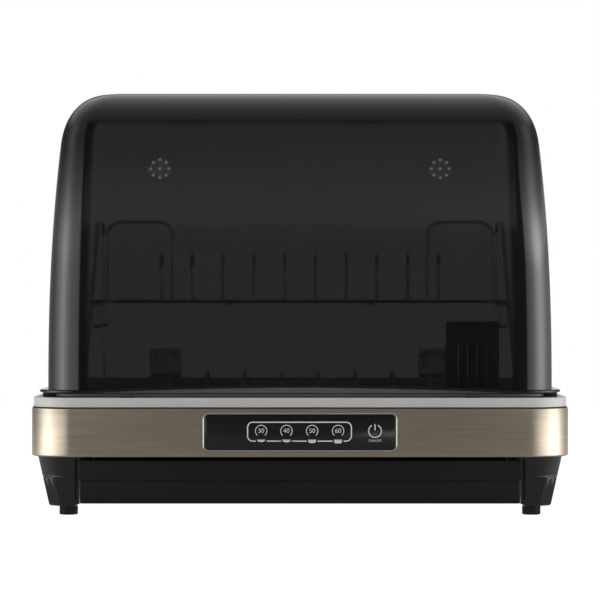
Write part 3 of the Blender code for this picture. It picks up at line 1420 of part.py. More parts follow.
def fan_wheel():
    """A squirrel-cage wheel: hub, top plate, bottom ring and blades set at a slant."""
    low, high = WHEEL_LOW, WHEEL_HIGH
    bore = SHAFT_RADIUS + SHAFT_CLEARANCE
    ring_inner = WHEEL_RADIUS - BLADE_DEPTH
    wheel = turned(
        "fan_wheel",
        (
            (bore, high),
            (WHEEL_RADIUS, high),
            (WHEEL_RADIUS, high - WHEEL_SHEET),
            (HUB_RADIUS, high - WHEEL_SHEET),
            (HUB_RADIUS, HUB_LOW),
            (bore, HUB_LOW),
        ),
        closed=True,
    )
    rim = (
        (WHEEL_RADIUS, low + WHEEL_SHEET),
        (WHEEL_RADIUS, low),
        (ring_inner, low),
        (ring_inner, low + WHEEL_SHEET),
    )
    lower_ring = turned("wheel_ring", rim, closed=True)
    lower_ring.parent = wheel
    join(wheel, lower_ring)
    overlap = WHEEL_SHEET / 2
    for blade in range(BLADES):
        angle = blade / BLADES * 2 * math.pi
        half = BLADE_DEPTH / 2 - WHEEL_SHEET / 2
        vane = box(
            "blade",
            (-half, -BLADE_SHEET / 2, low + overlap),
            (half, BLADE_SHEET / 2, high - overlap),
        )
        middle = WHEEL_RADIUS - BLADE_DEPTH / 2
        vane.location = (middle * math.cos(angle), middle * math.sin(angle), 0)
        vane.rotation_euler = (0, 0, angle + math.radians(BLADE_TURN))
        vane.parent = wheel
        join(wheel, vane)
    wheel.location = (-BLOWER_X, BLOWER_Y, 0)
    return paint(wheel, "grey_plastic")


def motor_shaft():
    top = BLOWER_TOP + SEAT + MOTOR_BORE_DEPTH - SHAFT_CLEARANCE
    shaft = rod("motor_shaft", (0, 0, HUB_LOW), (0, 0, top), SHAFT_RADIUS, SMALL_SIDES)
    shaft.location = (-BLOWER_X, BLOWER_Y, 0)
    return paint(shaft, "zinc")


def fan_motor():
    low = BLOWER_TOP + SEAT
    high = low + MOTOR_HEIGHT
    bore = SHAFT_RADIUS + SHAFT_CLEARANCE
    boss = MOTOR_RADIUS / 2
    flange = low + MOTOR_HEIGHT / 3
    motor = turned(
        "fan_motor",
        (
            (0, high),
            (boss, high),
            (MOTOR_RADIUS, high - MOTOR_HEIGHT / 6),
            (MOTOR_RADIUS, flange),
            (MOTOR_RADIUS + HUB_RADIUS, flange),
            (MOTOR_RADIUS + HUB_RADIUS, low),
            (bore, low),
            (bore, low + MOTOR_BORE_DEPTH),
            (0, low + MOTOR_BORE_DEPTH),
        ),
        SMALL_SIDES,
    )
    motor.location = (-BLOWER_X, BLOWER_Y, 0)
    return paint(motor, "zinc")


def heater_duct():
    """A box duct from the blower to a chamber, and a flat riser up behind the wall of the basin."""

    def run(name, inset, overrun):
        low, high = MACHINE_FLOOR + inset, BLOWER_TOP - inset
        path = box(
            name,
            (DUCT_START - overrun, DUCT_FRONT + inset, low),
            (0, DUCT_BACK - inset, high),
        )
        chamber_top = CHAMBER_TOP - inset
        outline = (
            (DUCT_FRONT + inset, low),
            (RISER_BACK - inset, low),
            (RISER_BACK - inset, RISER_TOP - inset),
            (RISER_FRONT + inset, RISER_TOP - inset),
            (RISER_FRONT + inset, chamber_top),
            (DUCT_FRONT + inset, chamber_top),
        )
        half_width = DUCT_HALF_WIDTH - inset
        return join(path, prism(name + "_riser", outline, -half_width, half_width))

    duct = run("heater_duct", 0, 0)
    mouth = box(
        "riser_mouth",
        (-MOUTH_HALF_WIDTH, RISER_FRONT - CUT_OVERRUN, MOUTH_BOTTOM),
        (MOUTH_HALF_WIDTH, RISER_FRONT + DUCT_WALL + CUT_OVERRUN, MOUTH_TOP),
    )
    cut(duct, run("duct_hollow", DUCT_WALL, CUT_OVERRUN), mouth)
    return paint(duct, "zinc")


def ptc_heater():
    """A ceramic heater: fins between two bars, across the duct."""
    inset = DUCT_WALL + SEAT
    start = DUCT_START + HEATER_INSET
    front, back = DUCT_FRONT + inset, DUCT_BACK - inset
    low, high = MACHINE_FLOOR + inset, BLOWER_TOP - inset
    heater = box("ptc_heater", (start, front, low), (start + HEATER_LENGTH, back, low + HEATER_BAR))
    join(heater, box("top_bar", (start, front, high - HEATER_BAR), (start + HEATER_LENGTH, back, high)))
    for fin in range(HEATER_FINS):
        y = front + (back - front - HEATER_FIN_SHEET) * fin / (HEATER_FINS - 1)
        low_z, high_z = low + HEATER_BAR / 2, high - HEATER_BAR / 2
        if fin in (0, HEATER_FINS - 1):
            low_z, high_z = low, high
        fin_low = (start + HEATER_FIN_SHEET, y, low_z)
        fin_high = (start + HEATER_LENGTH - HEATER_FIN_SHEET, y + HEATER_FIN_SHEET, high_z)
        join(heater, box("fin", fin_low, fin_high))
    return paint(heater, "ceramic")


def thermal_cutout():
    """A small round switch on the front of the duct's chamber."""
    cutout = turned(
        "thermal_cutout",
        (
            (0, CUTOUT_HEIGHT),
            (CUTOUT_RADIUS / 2, CUTOUT_HEIGHT),
            (CUTOUT_RADIUS / 2, CUTOUT_HEIGHT / 2),
            (CUTOUT_RADIUS, CUTOUT_HEIGHT / 2),
            (CUTOUT_RADIUS, 0),
            (0, 0),
        ),
        SMALL_SIDES,
    )
    cutout.location = (-DUCT_HALF_WIDTH / 2, DUCT_FRONT - SEAT, (MACHINE_FLOOR + CHAMBER_TOP) / 2)
    cutout.rotation_euler = (math.pi / 2, 0, 0)
    return paint(cutout, "zinc")


def air_grille():
    """A slotted cover on the back wall of the basin, over the mouth of the duct."""
    back = BASIN_BACK - SEAT
    low, high = MOUTH_BOTTOM - GRILLE_MARGIN, MOUTH_TOP + GRILLE_MARGIN
    grille = box(
        "air_grille",
        (-GRILLE_HALF_WIDTH, back - GRILLE_SHEET, low),
        (GRILLE_HALF_WIDTH, back, high),
    )
    for slot in range(GRILLE_SLOTS):
        x = (slot - (GRILLE_SLOTS - 1) / 2) * GRILLE_SLOT_PITCH
        cut(
            grille,
            box(
                "grille_slot",
                (x - GRILLE_SLOT / 2, back - GRILLE_SHEET - CUT_OVERRUN, MOUTH_BOTTOM),
                (x + GRILLE_SLOT / 2, back + CUT_OVERRUN, MOUTH_TOP),
            ),
        )
    return paint(grille, "white_plastic")


def board_place(shares):
    """A place on the power board from its shares of the length and the width."""
    (left, right), (front, back) = POWER_BOARD_X, POWER_BOARD_Y
    return left + (right - left) * shares[0], front + (back - front) * shares[1]


def power_board():
    low = COVER_TOP + POST_HEIGHT + SEAT
    top = low + BOARD_SHEET
    board = box(
        "power_board",
        (POWER_BOARD_X[0], POWER_BOARD_Y[0], low),
        (POWER_BOARD_X[1], POWER_BOARD_Y[1], top),
    )
    middle = low + BOARD_SHEET / 2
    for size, shares in ((TRANSFORMER_SIZE, TRANSFORMER_SHARES), (RELAY_SIZE, RELAY_SHARES)):
        x, y = board_place(shares)
        corner = Vector((x - size[0] / 2, y - size[1] / 2, middle))
        join(board, box("component", corner, corner + Vector(size)))
    x, y = board_place(CAPACITOR_SHARES)
    tip = (x, y, top + CAPACITOR_HEIGHT)
    join(board, rod("capacitor", (x, y, middle), tip, CAPACITOR_RADIUS, SMALL_SIDES))
    return paint(board, "board")


def cord_inlet():
    """A rubber bush in the back wall of the machine box."""
    flange = INLET_RADIUS + INLET_FLANGE
    face = SEAT + INLET_FLANGE_THICKNESS
    inner = -HOUSING_WALL - SEAT - INLET_FLANGE_THICKNESS / 2
    bush = turned(
        "cord_inlet",
        (
            (INLET_BORE, face),
            (flange, face - INLET_FLANGE_THICKNESS / 3),
            (flange, SEAT),
            (INLET_RADIUS, SEAT),
            (INLET_RADIUS, inner),
            (INLET_BORE, inner),
        ),
        closed=True,
    )
    bush.location = (INLET_X, MACHINE_REAR, INLET_HEIGHT)
    bush.rotation_euler = (-math.pi / 2, 0, 0)
    return paint(bush, "rubber")


def uv_lamp():
    y = BASIN_BACK - LAMP_STANDOFF
    inner = LAMP_HALF_LENGTH - LAMP_CAP_LENGTH
    lamp = rod(
        "uv_lamp", (-LAMP_HALF_LENGTH, y, LAMP_HEIGHT), (LAMP_HALF_LENGTH, y, LAMP_HEIGHT), LAMP_RADIUS
    )
    for side in (-1, 1):
        start, end = (side * inner, y, LAMP_HEIGHT), (side * LAMP_HALF_LENGTH, y, LAMP_HEIGHT)
        join(lamp, rod("lamp_cap", start, end, LAMP_CAP_RADIUS))
    return paint(lamp, "lamp")


def lamp_holder(name, side):
    start = side * (LAMP_HALF_LENGTH + SEAT)
    end = start + side * HOLDER_LENGTH
    front = BASIN_BACK - LAMP_STANDOFF - LAMP_CAP_RADIUS
    holder = box(
        name,
        (min(start, end), front, LAMP_HEIGHT - HOLDER_HALF_HEIGHT),
        (max(start, end), BASIN_BACK - SEAT, LAMP_HEIGHT + HOLDER_HALF_HEIGHT),
    )
    bevel = holder.modifiers.new("edge", "BEVEL")
    bevel.width = HOLDER_BEVEL
    bevel.segments = 1
    return paint(holder, "white_plastic")


def build():
    steel_band()
    base_housing()
    bottom_cover()
    basin()
    lid_dome()
    panel_bezel()
    control_panel()
    control_board()
    drip_tray()
    drain_strainer()
    drain_seal()
    for back, end in ((-1, "front"), (1, "rear")):
        for right, way in ((-1, "left"), (1, "right")):
            rubber_foot(f"rubber_foot_{end}_{way}", right, back)
    for side, way in ((-1, "left"), (1, "right")):
        lid_bumper(f"lid_bumper_{way}", side)
        lid_vent(f"lid_vent_{way}", side)
        hinge_bracket(f"hinge_bracket_{way}", side)
        hinge_pin(f"hinge_pin_{way}", side)
        lid_hinge(f"lid_hinge_{way}", side)
        tray_rail(f"tray_rail_{way}", side)
        side_frame(f"side_frame_{way}", side)
        lamp_holder(f"lamp_holder_{way}", side)
    lower_rack()
    upper_rack()
    utensil_basket()
    blower_housing()
    fan_wheel()
    motor_shaft()
    fan_motor()
    heater_duct()
    ptc_heater()
    thermal_cutout()
    air_grille()
    power_board()
    cord_inlet()
    uv_lamp()


build()
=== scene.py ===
# Electric dish dryer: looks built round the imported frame. Metres, +Z up, front towards -Y.

import math

import bmesh
import bpy
from mathutils import Matrix, Vector


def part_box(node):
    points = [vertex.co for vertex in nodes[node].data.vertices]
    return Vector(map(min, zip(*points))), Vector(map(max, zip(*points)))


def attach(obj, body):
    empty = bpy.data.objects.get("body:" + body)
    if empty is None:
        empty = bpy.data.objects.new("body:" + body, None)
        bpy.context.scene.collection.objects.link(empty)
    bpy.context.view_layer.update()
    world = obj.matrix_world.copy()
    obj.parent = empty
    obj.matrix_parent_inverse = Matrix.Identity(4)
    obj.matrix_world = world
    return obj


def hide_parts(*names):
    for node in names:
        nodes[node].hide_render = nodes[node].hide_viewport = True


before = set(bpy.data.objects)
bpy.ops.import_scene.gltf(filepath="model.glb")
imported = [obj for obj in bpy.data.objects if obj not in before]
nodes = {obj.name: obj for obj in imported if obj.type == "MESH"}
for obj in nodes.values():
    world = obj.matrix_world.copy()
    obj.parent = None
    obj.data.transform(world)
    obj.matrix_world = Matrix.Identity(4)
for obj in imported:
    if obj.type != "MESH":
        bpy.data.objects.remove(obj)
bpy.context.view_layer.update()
mm = 0.001
scene = bpy.context.scene

bandLow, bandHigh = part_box("steel_band")
rimLow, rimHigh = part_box("basin")
lidLow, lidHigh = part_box("lid_dome")
halfWidth, halfDepth = bandHigh.x, bandHigh.y
leftAndRight = (("left", -1), ("right", 1))
print("frame loaded:", len(nodes), "nodes")


# Shader and geometry trees, with sums written on their sockets

class Value:
    def __init__(self, graph, socket):
        self.graph = graph
        self.socket = socket

    def combine(self, operation, other, swapped=False):
        pair = (other, self) if swapped else (self, other)
        return self.graph.add("ShaderNodeMath", {"operation": operation}, *pair)

    def __add__(self, other):
        return self.combine("ADD", other)

    def __sub__(self, other):
        return self.combine("SUBTRACT", other)

    def __rsub__(self, other):
        return self.combine("SUBTRACT", other, swapped=True)

    def __mul__(self, other):
        return self.combine("MULTIPLY", other)


class Graph:
    def __init__(self, tree):
        self.tree = tree

    def add(self, kind, settings=None, *values, output=0, **named):
        node = self.tree.nodes.new(kind)
        for key, value in (settings or {}).items():
            setattr(node, key, value)
        for socket, value in zip(node.inputs, values):
            self.feed(socket, value)
        for key, value in named.items():
            self.feed(node.inputs[key], value)
        return Value(self, node.outputs[output])

    def feed(self, socket, value):
        if isinstance(value, Value):
            self.tree.links.new(value.socket, socket)
        else:
            socket.default_value = value

    def smooth(self, value, low, high):
        return self.add("ShaderNodeMapRange", {"interpolation_type": "SMOOTHSTEP"}, value, low, high)

    def tint(self, factor, first, second):
        node = self.tree.nodes.new("ShaderNodeMix")
        node.data_type = "RGBA"
        for index, value in ((0, factor), (6, first), (7, second)):
            self.feed(node.inputs[index], value)
        return Value(self, node.outputs[2])


class Finish(Graph):
    def __init__(self, name, colour, roughness, metallic=0.0, **constants):
        self.material = bpy.data.materials.new(name)
        self.material.use_nodes = True
        super().__init__(self.material.node_tree)
        self.surface = self.tree.nodes["Principled BSDF"]
        self.place = self.add("ShaderNodeTexCoord", output="Object")
        self.set("Base Color", (*colour, 1))
        self.set("Roughness", roughness)
        self.set("Metallic", metallic)
        for key, value in constants.items():
            self.set(key, value)

    def set(self, socket, value):
        self.feed(self.surface.inputs[socket], value)

    def noise(self, stretch, detail=2, rough=0.5):
        stretch = stretch if isinstance(stretch, tuple) else (stretch,) * 3
        place = self.add("ShaderNodeVectorMath", {"operation": "MULTIPLY"}, self.place, stretch)
        return self.add("ShaderNodeTexNoise", None, Vector=place, Scale=1, Detail=detail, Roughness=rough)

    def bump(self, height, depth, strength):
        names = {"Strength": strength, "Distance": depth, "Height": height}
        self.set("Normal", self.add("ShaderNodeBump", None, **names, output="Normal"))


def shades(colour, *shares):
    # Darker and lighter mates of a colour, as a socket takes them
    return [(*(part * share for part in colour), 1) for share in shares]


plastic = {
    "cloud": 14,
    "grain": 1500,
    "grainDepth": 0.02 * mm,
    "grainStrength": 0.35,
    "streaks": (60, 60, 9),
    "streakRoughness": 0.65,
    "rubbed": (0.56, 0.72),
    "rub": 0.05,
    "uneven": 0.08,
    "constants": {},
}
metal = {
    "lineRoughness": 0.6,
    "lineShare": 0.4,
    "lineStrength": 0.5,
    "contrast": (0.3, 0.7),
    "cloud": 9,
    "patches": 0.06,
    "constants": {},
}


def mouldedPlastic(name, look):
    # Satin or glossy moulding: faint clouds in the colour, a fine grain, rubbed streaks
    look = {**plastic, **look}
    skin = Finish(name, look["colour"], look["roughness"], **look["constants"])
    cloud = skin.noise(look["cloud"], 4)
    grain = skin.noise(look["grain"], 2)
    rubbed = skin.smooth(skin.noise(look["streaks"], 5, look["streakRoughness"]), *look["rubbed"])
    pair = shades(look["colour"], 1 - look["mottle"], 1 + look["mottle"])
    skin.set("Base Color", skin.tint(cloud, *pair))
    wear = rubbed * look["rub"] + (cloud - 0.5) * look["uneven"]
    skin.set("Roughness", wear + look["roughness"])
    skin.bump(grain, look["grainDepth"], look["grainStrength"])
    return skin.material


def brushedMetal(name, look):
    # Fine lines that run level round the body, with a few wider ones
    look = {**metal, **look}
    skin = Finish(name, look["colour"], look["roughness"], 1.0, **look["constants"])
    lines = skin.noise(look["lines"], 3, look["lineRoughness"])
    wide = skin.noise(look["wideLines"], 2)
    cloud = skin.noise(look["cloud"], 3)
    pair = shades(look["colour"], 1 - look["mottle"], 1 + look["mottle"])
    mixed = lines * look["lineShare"] + wide * (1 - look["lineShare"])
    skin.set("Base Color", skin.tint(skin.smooth(mixed, *look["contrast"]), *pair))
    wear = (lines - 0.5) * look["uneven"] + (cloud - 0.5) * look["patches"]
    skin.set("Roughness", wear + look["roughness"])
    skin.bump(lines, look["lineDepth"], look["lineStrength"])
    return skin.material


def smokePlastic(name, look):
    # Tinted clear wall: thin where it is flat; where the turn mark is set it is painted near-opaque black, a
    # painted shade for the dark edges of the bent wall
    skin = Finish(name, look["colour"], look["roughness"], **look["constants"])
    turned = skin.add("ShaderNodeAttribute", {"attribute_name": "turn"}, output="Fac")
    haze = skin.noise(look["hazeScale"], 5, look["hazeRoughness"])
    wave = skin.noise(look["waveScale"], 2)
    # Painted shade: the alpha goes from the wall's own up to near-opaque black as the turn mark rises
    skin.set("Alpha", turned * (look["paintedShadeAlpha"] - look["wallAlpha"]) + look["wallAlpha"])
    skin.set("Roughness", haze * look["haze"] + look["roughness"])
    skin.set("Base Color", skin.tint(haze, *shades(look["colour"], 1, look["hazeShade"])))
    skin.bump(wave, look["waveDepth"], look["waveStrength"])
    return skin.material


looks = {
    "satinBlack": {"colour": (0.008, 0.008, 0.009), "roughness": 0.22, "mottle": 0.2, "rub": 0.06},
    "housingBlack": {
        "colour": (0.008, 0.008, 0.009),
        "roughness": 0.25,
        "mottle": 0.25,
        "constants": {"Coat Weight": 0.6, "Coat Roughness": 0.2},
    },
    "trayBlack": {
        "colour": (0.019, 0.019, 0.0195),
        "roughness": 0.4,
        "mottle": 0.12,
        "rub": 0.06,
        "constants": {"Specular IOR Level": 0.16},
    },
    "rimWhite": {"colour": (0.63, 0.62, 0.592), "roughness": 0.3, "mottle": 0.025, "grain": 900},
    # Painted shade: the kerb is white plastic, greyed here for the shadow under the lid
    "kerbGrey": {"colour": (0.16, 0.16, 0.155), "roughness": 0.35, "mottle": 0.06},
    "panelBlack": {
        "colour": (0.014, 0.014, 0.0145),
        "roughness": 0.14,
        "mottle": 0.15,
        "uneven": 0.03,
        "rub": 0.03,
        "grainStrength": 0.03,
    },
    "printInk": {"colour": (0.86, 0.86, 0.84), "roughness": 0.5, "mottle": 0.08, "grain": 4000},
    "slateGrey": {"colour": (0.16, 0.16, 0.17), "roughness": 0.45, "mottle": 0.12},
    "basketGrey": {"colour": (0.12, 0.12, 0.125), "roughness": 0.4, "mottle": 0.12},
    "softRubber": {
        "colour": (0.014, 0.014, 0.014),
        "roughness": 0.72,
        "mottle": 0.25,
        "grain": 700,
        "grainDepth": 0.05 * mm,
    },
    "heaterCeramic": {"colour": (0.5, 0.47, 0.42), "roughness": 0.6, "mottle": 0.15, "grain": 600},
    "boardGreen": {"colour": (0.02, 0.11, 0.05), "roughness": 0.35, "mottle": 0.2, "cloud": 60},
}
metals = {
    "champagneSteel": {
        "colour": (0.69, 0.6, 0.476),
        "roughness": 0.32,
        "lines": (30, 30, 1500),
        "wideLines": (16, 16, 620),
        "mottle": 0.1,
        "uneven": 0.1,
        "lineDepth": 0.004 * mm,
        "constants": {"Anisotropic": 0.85, "Anisotropic Rotation": 0.25},
    },
    "champagneBright": {
        "colour": (0.82, 0.78, 0.71),
        "roughness": 0.36,
        "lines": (40, 40, 900),
        "wideLines": (9, 9, 120),
        "mottle": 0.06,
        "uneven": 0.06,
        "lineDepth": 0.004 * mm,
    },
    "rackWire": {
        "colour": (0.60, 0.58, 0.54),
        "roughness": 0.17,
        "lines": (700, 700, 700),
        "wideLines": (60, 60, 60),
        "mottle": 0.08,
        "uneven": 0.08,
        "lineDepth": 0.006 * mm,
    },
    "platedZinc": {
        "colour": (0.5, 0.51, 0.52),
        "roughness": 0.34,
        "lines": (500, 500, 500),
        "wideLines": (50, 50, 50),
        "mottle": 0.15,
        "uneven": 0.12,
        "lineDepth": 0.01 * mm,
    },
}
smoke = {
    "colour": (0.004, 0.004, 0.0045),
    "roughness": 0.03,
    "haze": 0.03,
    "hazeScale": 22,
    "hazeRoughness": 0.6,
    "hazeShade": 1.6,
    "wallAlpha": 0.65,
    # Alpha where the turn mark is full: painted shade, near-opaque black
    "paintedShadeAlpha": 0.985,
    "waveScale": (7, 7, 5),
    "waveDepth": 0.25 * mm,
    "waveStrength": 0.3,
    "constants": {"IOR": 1.56},
}
clearLooks = {
    "smokeWall": {},
    "smokeVent": {"wallAlpha": 0.6, "paintedShadeAlpha": 0.9, "roughness": 0.3},
    "smokeHinge": {"wallAlpha": 0.3, "roughness": 0.1},
    "tubeGlass": {"colour": (0.7, 0.74, 0.8), "wallAlpha": 0.35, "paintedShadeAlpha": 0.6},
}
finishes = {name: mouldedPlastic(name, look) for name, look in looks.items()}
finishes.update({name: brushedMetal(name, look) for name, look in metals.items()})
finishes.update({name: smokePlastic(name, {**smoke, **look}) for name, look in clearLooks.items()})
print("finishes made:", len(finishes))


# Shapes

sharpAngle = math.radians(32)
bevelAngle = math.radians(30)
# Anything below these counts as nothing
leastRadius = 1e-7
leastTurn = 0.01
leastRise = 0.01 * mm


def clamp(value):
    return min(1, max(0, value))


def sweep(steps, quarters=1):
    # Cosine and sine at even steps from zero through some quarter turns
    angles = [step / steps * quarters * math.pi / 2 for step in range(steps + 1)]
    return [(math.cos(angle), math.sin(angle)) for angle in angles]


def extent(name):
    low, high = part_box(name)
    return low, high, (low + high) / 2


def soften(data):
    # Smooth faces, with a hard edge where two of them turn by more than the sharp angle
    data.shade_smooth()
    data.set_sharp_from_angle(angle=sharpAngle)


def coat(data, material):
    data.materials.clear()
    data.materials.append(material)


def addObject(name, data):
    made = bpy.data.objects.new(name, data)
    scene.collection.objects.link(made)
    return made


def addPiece(name, mesh, finish, flat=False):
    data = bpy.data.meshes.new(name)
    mesh.to_mesh(data)
    mesh.free()
    coat(data, finishes[finish])
    if not flat:
        soften(data)
    return addObject(name, data)


def settle(piece):
    # Turns what the modifiers make into the piece's own mesh
    graph = bpy.context.evaluated_depsgraph_get()
    made = bpy.data.meshes.new_from_object(piece.evaluated_get(graph))
    piece.modifiers.clear()
    old, piece.data = piece.data, made
    made.name = piece.name
    made.transform(piece.matrix_world)
    piece.matrix_world = Matrix.Identity(4)
    if old.users == 0:
        bpy.data.meshes.remove(old)
    soften(made)
    return piece


def hold(piece, body, slot, *replaced):
    if piece.modifiers:
        settle(piece)
    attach(piece, body)
    if replaced:
        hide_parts(*replaced)
    return piece


def bevel(piece, width, segments=3):
    step = piece.modifiers.new("edges", "BEVEL")
    step.width = width
    step.segments = segments
    step.limit_method = "ANGLE"
    step.angle_limit = bevelAngle
    step.harden_normals = False
    return piece


def boolean(piece, operation, *others):
    # The others are pieces or bare shapes, and are used up
    finish = piece.data.materials[0].name
    tools = []
    for other in others:
        bare = isinstance(other, bmesh.types.BMesh)
        tools.append(addPiece("tool", other, finish, flat=True) if bare else other)
    for tool in tools:
        step = piece.modifiers.new(operation.lower(), "BOOLEAN")
        step.operation = operation
        step.solver = "EXACT"
        step.object = tool
    settle(piece)
    for tool in tools:
        bpy.data.objects.remove(tool)
    return piece


def weld(piece, *others):
    return boolean(piece, "UNION", *others)


def cut(piece, *others):
    return boolean(piece, "DIFFERENCE", *others)


def ring(halfX, halfY, radius, z, steps=12, near=(), frontSteps=1):
    # Rounded rectangle from the front right corner; near adds points just past each corner
    arcs = []
    for quarter, (right, back) in enumerate(((1, -1), (1, 1), (-1, 1), (-1, -1))):
        middle = Vector((right * (halfX - radius), back * (halfY - radius), z))
        angles = [(quarter - 1 + step / steps) * math.pi / 2 for step in range(steps + 1)]
        arcs.append([middle + Vector((math.cos(a), math.sin(a), 0)) * radius for a in angles])
    points, turns = [], []
    for quarter, arc in enumerate(arcs):
        points += arc
        turns += [1] * len(arc)
        start, end = arc[-1], arcs[(quarter + 1) % 4][0]
        length = (end - start).length
        shares = [distance / length for distance, _ in near]
        marks = [turn for _, turn in near]
        divisions = frontSteps if quarter == 3 else 1
        middle = [step / divisions for step in range(1, divisions)]
        shares = shares + middle + [1 - share for share in reversed(shares)]
        marks = marks + [0] * len(middle) + marks[::-1]
        points += [start.lerp(end, share) for share in shares]
        turns += marks
    return points, turns


bandCorner = 41 * mm


def bandRing(offset, z, corner=bandCorner, steps=20):
    return ring(halfWidth - offset, halfDepth - offset, corner - offset, z, steps)[0]


def shifted(points, x, y):
    return [point + Vector((x, y, 0)) for point in points]


def upright(points, depth, height):
    return [Vector((point.x, depth, height + point.y)) for point in points]


def neighbours(rows, closed=True):
    return list(zip(rows, rows[1:] + rows[:1] if closed else rows[1:]))


def loft(rings, closed=False, turns=None):
    # Skin over rings of points, with a cap on both ends unless the last ring meets the first
    mesh = bmesh.new()
    # The turn marks are kept as the turn attribute, which the lid's smoke finish paints as shade
    layer = mesh.verts.layers.float.new("turn") if turns else None
    rows = [[mesh.verts.new(point) for point in points] for points in rings]
    if turns:
        for row, marks in zip(rows, turns):
            for vert, mark in zip(row, marks):
                vert[layer] = mark
    if not closed:
        mesh.faces.new(rows[0])
        mesh.faces.new(rows[-1])
    for low, high in neighbours(rows, closed):
        for (a, b), (c, d) in zip(neighbours(low), neighbours(high)):
            mesh.faces.new((a, b, d, c))
    bmesh.ops.recalc_face_normals(mesh, faces=mesh.faces)
    return mesh


def bent(corners, radius, steps=8):
    # Path through corners, the inner ones rounded by one radius or by a list of them
    corners = [Vector(corner) for corner in corners]
    radii = radius if isinstance(radius, (list, tuple)) else [radius] * len(corners)
    path = [corners[0]]
    for index in range(1, len(corners) - 1):
        before, corner, after = corners[index - 1 : index + 2]
        size = radii[index]
        arrive, leave = (corner - before).normalized(), (after - corner).normalized()
        angle = arrive.angle(leave)
        if size == 0 or angle < leastTurn:
            path.append(corner)
            continue
        reach = size * math.tan(angle / 2)
        middle = corner + (leave - arrive).normalized() * size / math.cos(angle / 2)
        first, last = corner - arrive * reach - middle, corner + leave * reach - middle
        path += [middle + first.slerp(last, step / steps) * size for step in range(steps + 1)]
    path.append(corners[-1])
    return path


def softProfile(points, steps=4):
    # Pairs (offset, height) from corners given as (offset, height, radius)
    path = bent([(offset, height, 0) for offset, height, _ in points], [point[2] for point in points], steps)
    return [(point.x, point.y) for point in path]


def block(low, high):
    mesh = bmesh.new()
    bmesh.ops.create_cube(mesh, size=1)
    low, high = Vector(low), Vector(high)
    bmesh.ops.scale(mesh, vec=high - low, verts=mesh.verts)
    bmesh.ops.translate(mesh, vec=(low + high) / 2, verts=mesh.verts)
    return mesh


def aim(mesh, direction, place):
    # Turns a shape from +Z to a direction and moves it to its place
    turn = Vector(direction).to_track_quat("Z", "Y")
    bmesh.ops.rotate(mesh, matrix=turn.to_matrix(), verts=mesh.verts)
    bmesh.ops.translate(mesh, vec=Vector(place), verts=mesh.verts)
    return mesh


def rod(start, end, radius, sides=32):
    start, end = Vector(start), Vector(end)
    mesh = bmesh.new()
    bmesh.ops.create_cone(
        mesh, cap_ends=True, segments=sides, radius1=radius, radius2=radius, depth=(end - start).length
    )
    return aim(mesh, end - start, (start + end) / 2)


def lathe(profile, place, axis, sides, closed):
    # Turned shape from (radius, height) pairs, its axis set along a direction
    mesh = bmesh.new()
    rows = []
    for radius, height in profile:
        spokes = sweep(sides, 4)[:-1] if radius > leastRadius else [(0, 0)]
        rows.append([mesh.verts.new((radius * across, radius * aside, height)) for across, aside in spokes])
    for low, high in neighbours(rows, closed):
        for i, j in neighbours(list(range(sides))):
            corners = [low[i % len(low)], low[j % len(low)], high[j % len(high)], high[i % len(high)]]
            corners = list(dict.fromkeys(corners))
            if len(corners) > 2:
                mesh.faces.new(corners)
    bmesh.ops.recalc_face_normals(mesh, faces=mesh.faces)
    return aim(mesh, axis, place)


def post(x, y, low, high, radius, sides=48):
    return rod((x, y, low), (x, y, high), radius, sides)


def turned(name, profile, finish, place=(0, 0, 0), axis=(0, 0, 1), sides=48, closed=False):
    return addPiece(name, lathe(profile, place, axis, sides, closed), finish)


def swept(name, profile, loop, finish, closed=False):
    # One loop for each (offset, height) pair of the profile, joined in order
    return addPiece(name, loft([loop(*station) for station in profile], closed), finish)


def slab(name, low, high, finish, edge, segments=3):
    return bevel(addPiece(name, block(low, high), finish, flat=True), edge, segments)


# Geometry trees for what follows a path or repeats

def growTree(name, inputs):
    tree = bpy.data.node_groups.new(name, "GeometryNodeTree")
    tree.is_modifier = True
    tree.interface.new_socket("Geometry", in_out="INPUT", socket_type="NodeSocketGeometry")
    for label, kind in inputs.items():
        tree.interface.new_socket(label, in_out="INPUT", socket_type="NodeSocket" + kind)
    tree.interface.new_socket("Geometry", in_out="OUTPUT", socket_type="NodeSocketGeometry")
    graph = Graph(tree)
    start = tree.nodes.new("NodeGroupInput")
    given = {socket.name: Value(graph, socket) for socket in start.outputs if socket.name}
    return graph, given


def endTree(graph, shape, finish):
    solid = graph.add("GeometryNodeRealizeInstances", None, shape)
    painted = graph.add("GeometryNodeSetMaterial", None, Geometry=solid, Material=finish)
    end = graph.tree.nodes.new("NodeGroupOutput")
    graph.feed(end.inputs[0], painted)
    return graph.tree


def wireTree():
    graph, given = growTree("wireAlongPath", {"Radius": "Float", "Sides": "Int", "Finish": "Material"})
    path = graph.add("GeometryNodeMeshToCurve", None, given["Geometry"])
    names = {"Resolution": given["Sides"], "Radius": given["Radius"]}
    circle = graph.add("GeometryNodeCurvePrimitiveCircle", None, **names)
    names = {"Curve": path, "Profile Curve": circle, "Fill Caps": True}
    return endTree(graph, graph.add("GeometryNodeCurveToMesh", None, **names), given["Finish"])


def rowTree():
    inputs = {"Count": "Int", "Start": "Vector", "Step": "Vector", "Size": "Vector", "Finish": "Material"}
    graph, given = growTree("rowOfBars", inputs)
    names = {"Count": given["Count"], "Start Location": given["Start"], "Offset": given["Step"]}
    line = graph.add("GeometryNodeMeshLine", {"mode": "OFFSET"}, **names)
    bar = graph.add("GeometryNodeMeshCube", None, Size=given["Size"])
    row = graph.add("GeometryNodeInstanceOnPoints", None, Points=line, Instance=bar)
    return endTree(graph, row, given["Finish"])


def copiesTree():
    graph, given = growTree("copiesOnPoints", {"Shape": "Object", "Finish": "Material"})
    shape = graph.add("GeometryNodeObjectInfo", None, Object=given["Shape"], output="Geometry")
    row = graph.add("GeometryNodeInstanceOnPoints", None, Points=given["Geometry"], Instance=shape)
    return endTree(graph, row, given["Finish"])


